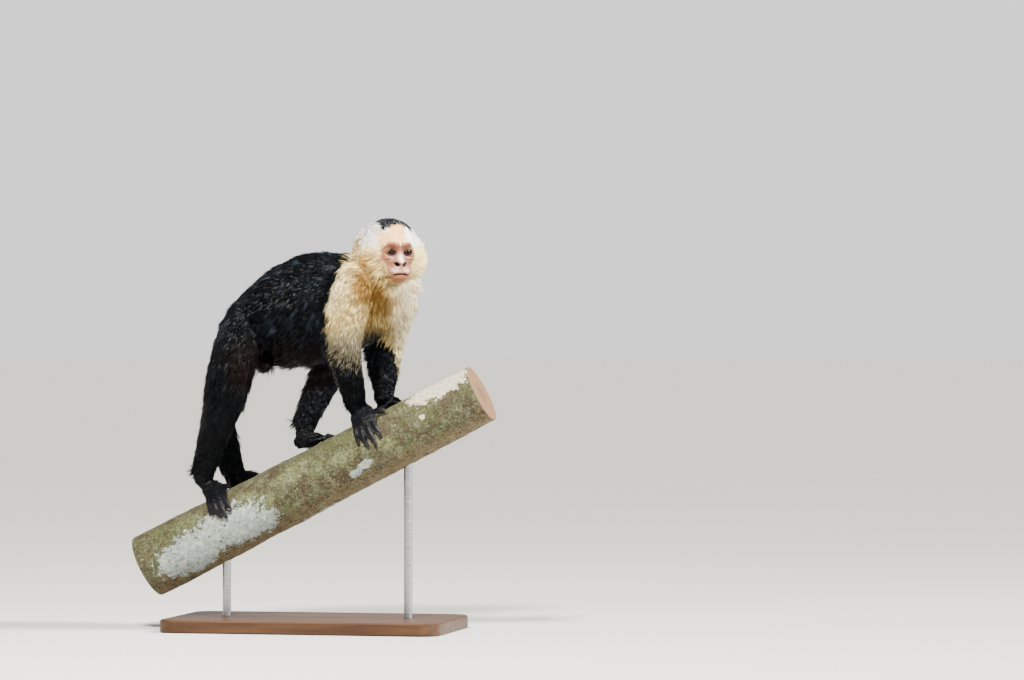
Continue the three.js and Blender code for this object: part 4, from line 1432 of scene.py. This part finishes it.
def brushed_steel():
    """The rods: stainless steel brushed round the bar, so that its shine is drawn out lengthwise."""
    made = new_material("brushed_steel")
    place = node(made, "TexCoord", out="Object")
    around = node(made, "Mapping", {"Vector": place, "Scale": (0.05, 0.05, 1.0)})
    brush = node(made, "TexNoise", {"Vector": around, "Scale": per(0.8), "Detail": 2.0, "Roughness": 0.5})
    shade = node(made, "ValToRGB", {"Fac": brush}, [(0.3, "#8f9193"), (0.7, "#a9abad")])
    rough = node(made, "ValToRGB", {"Fac": brush}, [(0.3, 0.26), (0.7, 0.4)])
    normal = node(made, "Bump", {"Height": brush, "Strength": 0.2, "Distance": 0.05 * MM})
    shader = node(made, "BsdfPrincipled",
                  {"Base Color": shade, "Metallic": 1.0, "Roughness": rough, "Normal": normal})
    node(made, "OutputMaterial", {"Surface": shader})
    return made


def studio_paper():
    """The floor: pale matt paper."""
    made = new_material("studio_paper")
    place = node(made, "TexCoord", out="Object")
    clouds = node(made, "TexNoise", {"Vector": place, "Scale": per(900), **FINE})
    tone = node(made, "ValToRGB", {"Fac": clouds}, [(0.3, "#b1b0ae"), (0.7, "#b3b2b0")])
    shader = node(made, "BsdfPrincipled",
                  {"Base Color": tone, "Roughness": 0.9, "Specular IOR Level": 0.1})
    node(made, "OutputMaterial", {"Surface": shader})
    return made


# ---------------------------------------------------------------- eyes and nails

EYE_ZONES = [(0, "#010101"), (13, "#010101"), (14.5, "#1d0f06"), (24, "#1a0c05"), (31, "#080302"),
             (34, "#0c0705"), (44, "#1d130e"), (60, "#382720"), (180, "#5a3c30")]
CORNEA = {"edge": 34, "bulge": 0.6}


def ball_mesh(name, centre, axis, radius_at, rings=72, around=56):
    """A closed ball about an axis. Radius_at gives the radius at an angle from the axis."""
    side = unit(np.cross(axis, UP))
    up = np.cross(side, axis)
    lean = np.linspace(0, np.pi, rings + 1)[1:-1]
    lean = lean * (0.35 + 0.65 * lean / np.pi)
    turn = np.arange(around) * 2 * np.pi / around
    radius = radius_at(np.degrees(lean))
    out = radius * np.sin(lean)
    ring = out[:, None, None] * (np.cos(turn)[:, None] * side + np.sin(turn)[:, None] * up)[None]
    points = ring + (radius * np.cos(lean))[:, None, None] * axis
    poles = [radius_at(np.array([0.0]))[0] * axis, -radius_at(np.array([180.0]))[0] * axis]
    points = np.concatenate([points.reshape(-1, 3), poles]) * MM + centre
    faces, rows = [], len(lean)
    for k in range(around):
        m = (k + 1) % around
        faces.append((rows * around, k, m))
        faces.append((rows * around + 1, (rows - 1) * around + m, (rows - 1) * around + k))
        for j in range(rows - 1):
            a, b, c, d = j * around + k, j * around + m, (j + 1) * around + m, (j + 1) * around + k
            faces += [(a, d, c), (a, c, b)]
    made = mesh_object(name, points, np.array(faces))
    face_outwards(made.data)
    return made, np.degrees(np.concatenate([np.repeat(lean, around), [0, np.pi]]))


def make_eye(side, material):
    """An eyeball with its clear bulge, turned a little from the face towards what it watches."""
    gaze = unit(TO_FRONT + 0.22 * np.array([math.sin(VIEW), -math.cos(VIEW), 0.0]))

    def radius_at(lean):
        return EYE_BALL["radius"] + CORNEA["bulge"] * step(CORNEA["edge"], 0, lean)

    heart = EYES[side] - EYE_BALL["back"] * MM * TO_FRONT
    made, lean = ball_mesh(f"{side}_eyeball", heart, gaze, radius_at)
    where = np.array([zone[0] for zone in EYE_ZONES])
    shades = np.array([linear(zone[1]) for zone in EYE_ZONES])
    paint(made, np.stack([np.interp(lean, where, shades[:, k]) for k in range(3)], axis=1))
    made.data.materials.append(material)
    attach(made, "root")
    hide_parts(f"{side}_eye")


NAIL = {"long": 7.5, "wide": 5.6, "thick": 0.7, "arch": 1.3}
DIGITS_APART = 8  # at the least, from tip to tip
NEAR_TIP = 11  # the skin so near to a tip shows which way its digit points


def heart_of(skin, tip):
    """The middle of the skin about a tip, which lies far behind it only at the end of a digit."""
    near = np.linalg.norm(skin.points - skin.points[tip], axis=1)
    return skin.points[(near < NEAR_TIP * MM) & (skin.parts == skin.parts[tip])].mean(axis=0)


def digit_tips(skin, name):
    """The five ends of a hand or foot: of the places where the way from the nose is longest all
    round, those that stick out the most on a hand, and the farthest on a foot."""
    ours = np.flatnonzero(skin.parts == FLESH.index(name))
    a, b = skin.edges.T
    highest = np.full(len(skin.points), -np.inf)
    np.maximum.at(highest, a, skin.reach[b])
    np.maximum.at(highest, b, skin.reach[a])
    ends = ours[skin.reach[ours] >= highest[ours] - 1e-9]
    rank = skin.reach[ends]
    if part_of(name) == "hand":
        rank = np.array([jut_of(skin, k) for k in ends])
    tips = []
    for k in ends[np.argsort(-rank, kind="stable")]:
        if all(np.linalg.norm(skin.points[k] - skin.points[t]) > DIGITS_APART * MM for t in tips):
            tips.append(k)
    return tips[:5]


def jut_of(skin, tip):
    """How far a point lies from the middle of the skin about it: far only at a digit's end."""
    away = skin.points - skin.points[tip]
    return np.linalg.norm(away[np.linalg.norm(away, axis=1) < NEAR_TIP * MM].mean(axis=0))


def make_nails(skin, material):
    centre, way = axis_of("perch_branch")
    grid = [(u, v) for v in np.linspace(-1, 1, 7) for u in np.linspace(0, 1, 7)]
    points, faces = [], []
    for name in FLESH:
        if part_of(name) not in ("hand", "foot"):
            continue
        for tip in digit_tips(skin, name):
            along = unit(skin.points[tip] - heart_of(skin, tip))
            off = skin.points[tip] - centre
            out = unit(off - (off @ way) * way)
            out = unit(out - (out @ along) * along)
            across = np.cross(along, out)
            base = skin.points[tip] - along * 4.2 * MM + out * 2.3 * MM
            start = len(points)
            for lift in (0.0, -NAIL["thick"]):
                for u, v in grid:
                    wide = NAIL["wide"] / 2 * (0.82 + 0.3 * u - 0.42 * u**4)
                    place = along * (u - 0.35) * NAIL["long"] * (1 - 0.12 * v**2) + across * v * wide
                    rise = lift - NAIL["arch"] * v**2 - 1.5 * u**2 + 0.4
                    points.append(base + (place + out * rise) * MM)
            faces += [tuple(start + k for k in face) for face in plate_faces(7, 7)]
    made = mesh_object("nails", np.array(points), np.array(faces))
    made.data.materials.append(material)
    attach(made, "root")


def plate_faces(rows, columns):
    """A closed thin plate: the upper grid, the lower grid and the rim between them."""
    faces, under = [], rows * columns
    for j in range(rows - 1):
        for i in range(columns - 1):
            a, b = j * columns + i, j * columns + i + 1
            c, d = b + columns, a + columns
            faces += [(a, b, c), (a, c, d)]
            faces += [(under + a, under + c, under + b), (under + a, under + d, under + c)]
    rim = [i for i in range(columns)] + [(j + 1) * columns - 1 for j in range(1, rows)]
    rim += [rows * columns - 1 - i for i in range(1, columns)]
    rim += [(rows - 1 - j) * columns for j in range(1, rows - 1)]
    for k, a in enumerate(rim):
        b = rim[(k + 1) % len(rim)]
        faces += [(b, a, under + a), (b, under + a, under + b)]
    return faces


# ---------------------------------------------------------------- the branch and its stand

BARK_STEP = 2.1
YEAR_RING = 2.9
# The loose scales on the bark: how many, and the size of each in metres.
SCALE = {"Per square metre": 5200.0, "Radius": 0.0012, "Thickness": 0.0004}
# Crusts of lichen: along the branch from its middle, round it from the top towards the side the
# animal is seen from in degrees, and their half sizes along and round, in millimetres.
CRUSTS = [
    ((-128, 100), (58, 30)), ((-196, 112), (50, 30)), ((-96, 118), (40, 20)), ((226, 34), (52, 20)),
    ((68, 119), (10, 6)), ((85, 113), (11, 6)), ((188, 82), (4, 4)), ((40, -100), (46, 24)),
    ((-120, -70), (40, 26)), ((190, -60), (30, 20)), ((-10, 190), (36, 16)),
]
MOSS = [
    ((-62, 92), (9, 14)), ((-22, 66), (26, 11)), ((-92, 62), (14, 8)), ((60, 80), (20, 10)),
    ((128, 96), (16, 9)), ((-180, 56), (22, 9)), ((-30, -60), (30, 20)), ((110, -110), (26, 16)),
]


def make_branch(bark, wood):
    centre, way = axis_of("perch_branch")
    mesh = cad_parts["perch_branch"].data
    points = vertices_of(mesh)
    along = (points - centre) @ way
    low, high = along.min(), along.max()
    ends = [points[np.abs(along - end) < 1 * MM].mean(axis=0) for end in (low, high)]
    way = unit(ends[1] - ends[0])
    side = -unit(np.cross(UP, way))
    top = np.cross(way, side)
    top = top * np.sign(top[2])
    length = np.linalg.norm(ends[1] - ends[0]) / MM
    tree = BVHTree.FromPolygons(points.tolist(), triangles_of(mesh).tolist())
    turns, rows = 144, int(length / BARK_STEP)
    s = np.linspace(0, length, rows + 1)
    angle = np.arange(turns) * 2 * np.pi / turns
    outward = np.cos(angle)[:, None] * top + np.sin(angle)[:, None] * side
    radius = []
    for at in np.clip(s, 2, length - 2):
        heart = ends[0] + way * at * MM
        hits = [tree.ray_cast(heart.tolist(), outward[k].tolist())[3] for k in range(0, turns, 9)]
        radius.append(np.mean([h for h in hits if h]) / MM)
    radius = np.convolve(np.pad(radius, 12, "edge"), np.ones(25) / 25, "valid")
    spot = ends[0] + (way * (s * MM)[:, None])[:, None, :] + outward[None] * (radius * MM)[:, None, None]
    flat = spot.reshape(-1, 3)
    relief = 0.9 * fine_noise(flat, 42, 21, 2) + 0.5 * fine_noise(flat, 11, 22, 3)
    field = crust_field(CRUSTS, s - length / 2, np.degrees(angle), radius)
    moss = crust_field(MOSS, s - length / 2, np.degrees(angle), radius)
    relief = relief + 0.7 * step(0.35, 0.6, field.ravel() + 0.25 * fine_noise(flat, 7, 23, 3))
    flat = flat + np.tile(outward, (rows + 1, 1)) * (relief * MM)[:, None]
    under = step(-0.35, -0.85, np.tile(outward @ UP, rows + 1) + 0.2 * fine_noise(flat, 18, 24))
    made = bark_mesh(flat, rows, turns, ends, way)
    extra = len(made.data.vertices) - len(flat)
    for name, values in (("crust", field.ravel()), ("moss", moss.ravel()), ("underside", under)):
        carry(made.data, name, np.concatenate([values, np.zeros(extra)]))
    from_axis = vertices_of(made.data) - ends[0]
    from_axis = from_axis - (from_axis @ way)[:, None] * way
    carry(made.data, "rings", np.linalg.norm(from_axis, axis=1) / (YEAR_RING * MM))
    made.data.materials.append(bark)
    made.data.materials.append(wood)
    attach(made, "root")
    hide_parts("perch_branch")
    return made


def crust_field(patches, s, degrees, radius):
    """1 well inside the patches, 0 well outside them, and 0.5 at their edge."""
    field = np.zeros((len(s), len(degrees)))
    for (at, turn), (long, wide) in patches:
        apart = (degrees - turn + 180) % 360 - 180
        round_it = np.radians(apart)[None] * radius[:, None] / wide
        far = np.hypot((s[:, None] - at) / long, round_it)
        field = np.maximum(field, np.clip(1.25 - 0.75 * far, 0, 1))
    return field


def bark_mesh(flat, rows, turns, ends, way):
    """The tube of bark and its two sawn ends."""
    points, sawn = [flat], []
    j, k = np.meshgrid(np.arange(rows), np.arange(turns), indexing="ij")
    a, b = j * turns + k, j * turns + (k + 1) % turns
    faces = np.stack([a, b, b + turns, a + turns], axis=-1).reshape(-1, 4)
    quads = [np.concatenate([faces[:, [0, 1, 2]], faces[:, [0, 2, 3]]])]
    count = len(flat)
    for end, first, sign in ((0, 0, 1), (1, rows * turns, -1)):
        rim = np.arange(turns) + first
        last = rim
        for share in (0.97, 0.9, 0.75, 0.55, 0.35, 0.15):
            ring = ends[end] + (flat[rim] - ends[end]) * share
            ring = ring - way * ((ring - ends[end]) @ way)[:, None]
            points.append(ring)
            here = np.arange(turns) + count
            count += turns
            x, y = np.roll(last, -1), np.roll(here, -1)
            strip = np.concatenate([np.stack([last, here, y], 1), np.stack([last, y, x], 1)])
            sawn.append(strip if sign == 1 else strip[:, ::-1])
            last = here
        points.append(ends[end][None])
        fan = np.stack([last, np.full(turns, count), np.roll(last, -1)], 1)
        sawn.append(fan if sign == 1 else fan[:, ::-1])
        count += 1
    sawn = np.concatenate(sawn)
    made = mesh_object("branch", np.concatenate(points), np.concatenate(quads + [sawn]))
    marks = np.zeros(len(made.data.polygons), np.int32)
    marks[-len(sawn):] = 1
    made.data.polygons.foreach_set("material_index", marks)
    face_outwards(made.data)
    return made


def scale_tree(material):
    """A node tree that strews little scales of bark and lichen over a surface."""
    tree = bpy.data.node_groups.new("strewn_scales", "GeometryNodeTree")
    face = tree.interface
    face.new_socket("Geometry", in_out="INPUT", socket_type="NodeSocketGeometry")
    for name, start in SCALE.items():
        socket = face.new_socket(name, in_out="INPUT", socket_type="NodeSocketFloat")
        socket.default_value = start
    face.new_socket("Geometry", in_out="OUTPUT", socket_type="NodeSocketGeometry")
    ground = node(tree, "NodeGroupInput")
    density, radius, thickness = (ground.node.outputs[name] for name in SCALE)
    places = node(tree, "GeometryNodeDistributePointsOnFaces",
                  {"Mesh": ground, "Density": density, "Seed": 17})
    narrow = node(tree, "Math", {0: radius, 1: 0.6}, operation="MULTIPLY")
    scale = node(tree, "GeometryNodeMeshCone",
                 {"Vertices": 7, "Radius Bottom": radius, "Radius Top": narrow, "Depth": thickness})
    size = node(tree, "FunctionNodeRandomValue",
                {"Min": (0.4, 0.4, 0.6), "Max": (1.9, 1.3, 1.2), "Seed": 5}, data_type="FLOAT_VECTOR")
    strewn = node(tree, "GeometryNodeInstanceOnPoints",
                  {"Points": places, "Rotation": places.node.outputs["Rotation"],
                   "Instance": scale, "Scale": size})
    real = node(tree, "GeometryNodeRealizeInstances", {"Geometry": strewn})
    coat = node(tree, "GeometryNodeSetMaterial", {"Geometry": real, "Material": material})
    node(tree, "NodeGroupOutput", {"Geometry": coat})
    return tree


def strew_scales(branch, material):
    """Loose scales of bark and leafy lichen on the branch, away from its sawn ends."""
    mesh = branch.data.copy()
    ground = bmesh.new()
    ground.from_mesh(mesh)
    bmesh.ops.delete(ground, geom=[f for f in ground.faces if f.material_index == 1], context="FACES")
    ground.to_mesh(mesh)
    ground.free()
    source = placed("ground", mesh)
    strewn = source.modifiers.new("strew", "NODES")
    strewn.node_group = scale_tree(material)
    for socket in strewn.node_group.interface.items_tree:
        if socket.in_out == "INPUT" and socket.name == "Per square metre":
            strewn[socket.identifier] = SCALE["Per square metre"]
    made = placed("bark_scales", baked_down(source))
    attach(made, "root")


def finish_stand():
    board, steel = oiled_walnut(), brushed_steel()
    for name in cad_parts:
        if name.startswith("stand_"):
            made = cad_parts[name]
            made.data.materials.clear()
            made.data.materials.append(board if name == "stand_base" else steel)


# ---------------------------------------------------------------- the studio

CAMERA = {"away": 6.0, "right": 0.2758, "high": 0.406, "lens": 150.67}  # metres, lens in mm
HORIZON = 1.3  # how bright the air is there
LAMPS_AIM = 0.38  # the height that the soft boxes face
FLOOR = {"radius": 80, "corners": 96}


def set_up_studio():
    right = np.array([math.cos(VIEW), math.sin(VIEW), 0])
    back = np.array([math.sin(VIEW), -math.cos(VIEW), 0])
    lens = bpy.data.cameras.new("camera")
    lens.lens, lens.sensor_width, lens.clip_end = CAMERA["lens"], 36, 200
    camera = placed("camera", lens)
    camera.location = right * CAMERA["right"] + back * CAMERA["away"] + UP * CAMERA["high"]
    camera.rotation_euler = (math.radians(90), 0, VIEW)
    bpy.context.scene.camera = camera
    lamp("key", right * -0.4 + back * 1.75 + UP * 2.25, 0.45, 350, "#fff8f0")
    lamp("fill", right * 2.5 + back * 1.0 + UP * 0.9, 1.2, 100, "#f6f6ff")
    sun = bpy.data.lights.new("rim", "SUN")
    sun.energy, sun.angle, sun.color = 12.0, math.radians(9), linear("#fff9ee")
    rim = placed("rim", sun)
    rim.rotation_euler = Vector(right * 1.5 + back * 0.35 + UP * 1.4).to_track_quat("Z", "Y").to_euler()
    bpy.context.scene.world = studio_air()
    count = FLOOR["corners"]
    turn = np.arange(count) * 2 * np.pi / count
    edge = np.stack([np.cos(turn), np.sin(turn), 0 * turn], axis=1) * FLOOR["radius"]
    points = np.concatenate([edge, [[0, 0, 0]]])
    faces = np.array([(k, (k + 1) % count, count) for k in range(count)])
    floor = mesh_object("floor", points, faces, smooth=False)
    floor.data.materials.append(studio_paper())


def studio_air():
    """Soft light from all round, as bright at the horizon as the far floor, so that they melt.

    The room is darker on the side that the animal looks to, which keeps its eyes and coat deep.
    """
    world = bpy.data.worlds.new("studio")
    world.use_nodes = True
    world.node_tree.nodes.clear()
    way = node(world, "TexCoord", out="Generated")
    high = node(world, "SeparateXYZ", {"Vector": way}, out="Z")
    shade = node(world, "ValToRGB", {"Fac": high}, [(0.0, HORIZON), (0.12, HORIZON), (0.4, 0.4), (1.0, 0.5)])
    front = node(world, "VectorMath", {0: way, 1: SEEN_FRONT}, out="Value", operation="DOT_PRODUCT")
    dim = node(world, "ValToRGB", {"Fac": front}, [(0.1, 1.0), (0.6, 0.4)])
    air = node(world, "Mix", {0: 1.0, 6: shade, 7: dim}, **MULTIPLY)
    air = node(world, "Background", {"Color": air, "Strength": 1.0})
    node(world, "OutputWorld", {"Surface": air})
    return world


def lamp(name, place, size, power, shade):
    """A square soft box that faces the middle of the animal."""
    light = bpy.data.lights.new(name, "AREA")
    light.size, light.energy, light.color = size, power, linear(shade)
    made = placed(name, light)
    made.location = place
    aim = Vector(place) - Vector((0.0, 0.0, LAMPS_AIM))
    made.rotation_euler = aim.to_track_quat("Z", "Y").to_euler()


# ---------------------------------------------------------------- the making


def make_animal():
    skin = Skin()
    body = dress_skin(skin)
    body.data.materials.append(living_skin())
    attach(body, "root")
    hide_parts(*FLESH)
    hair = keratin_hair()
    coat = Coat(skin, body)
    head_left = in_head(coat.root)[:, 1] > 0
    for name, nodes in REGIONS.items():
        rows = np.isin(coat.parts, [FLESH.index(n) for n in nodes])
        if name.startswith("coat_head"):
            rows &= head_left == name.endswith("left")
        made = coat.mesh(name, np.flatnonzero(rows))
        made.data.materials.append(hair)
        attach(made, "root")
    gloss = wet_eye()
    for side in SIDES:
        make_eye(side, gloss)
    make_nails(skin, horn_nail())


set_up_studio()
make_animal()
branch = make_branch(lichened_bark(), cut_wood())
strew_scales(branch, leafy_lichen())
finish_stand()
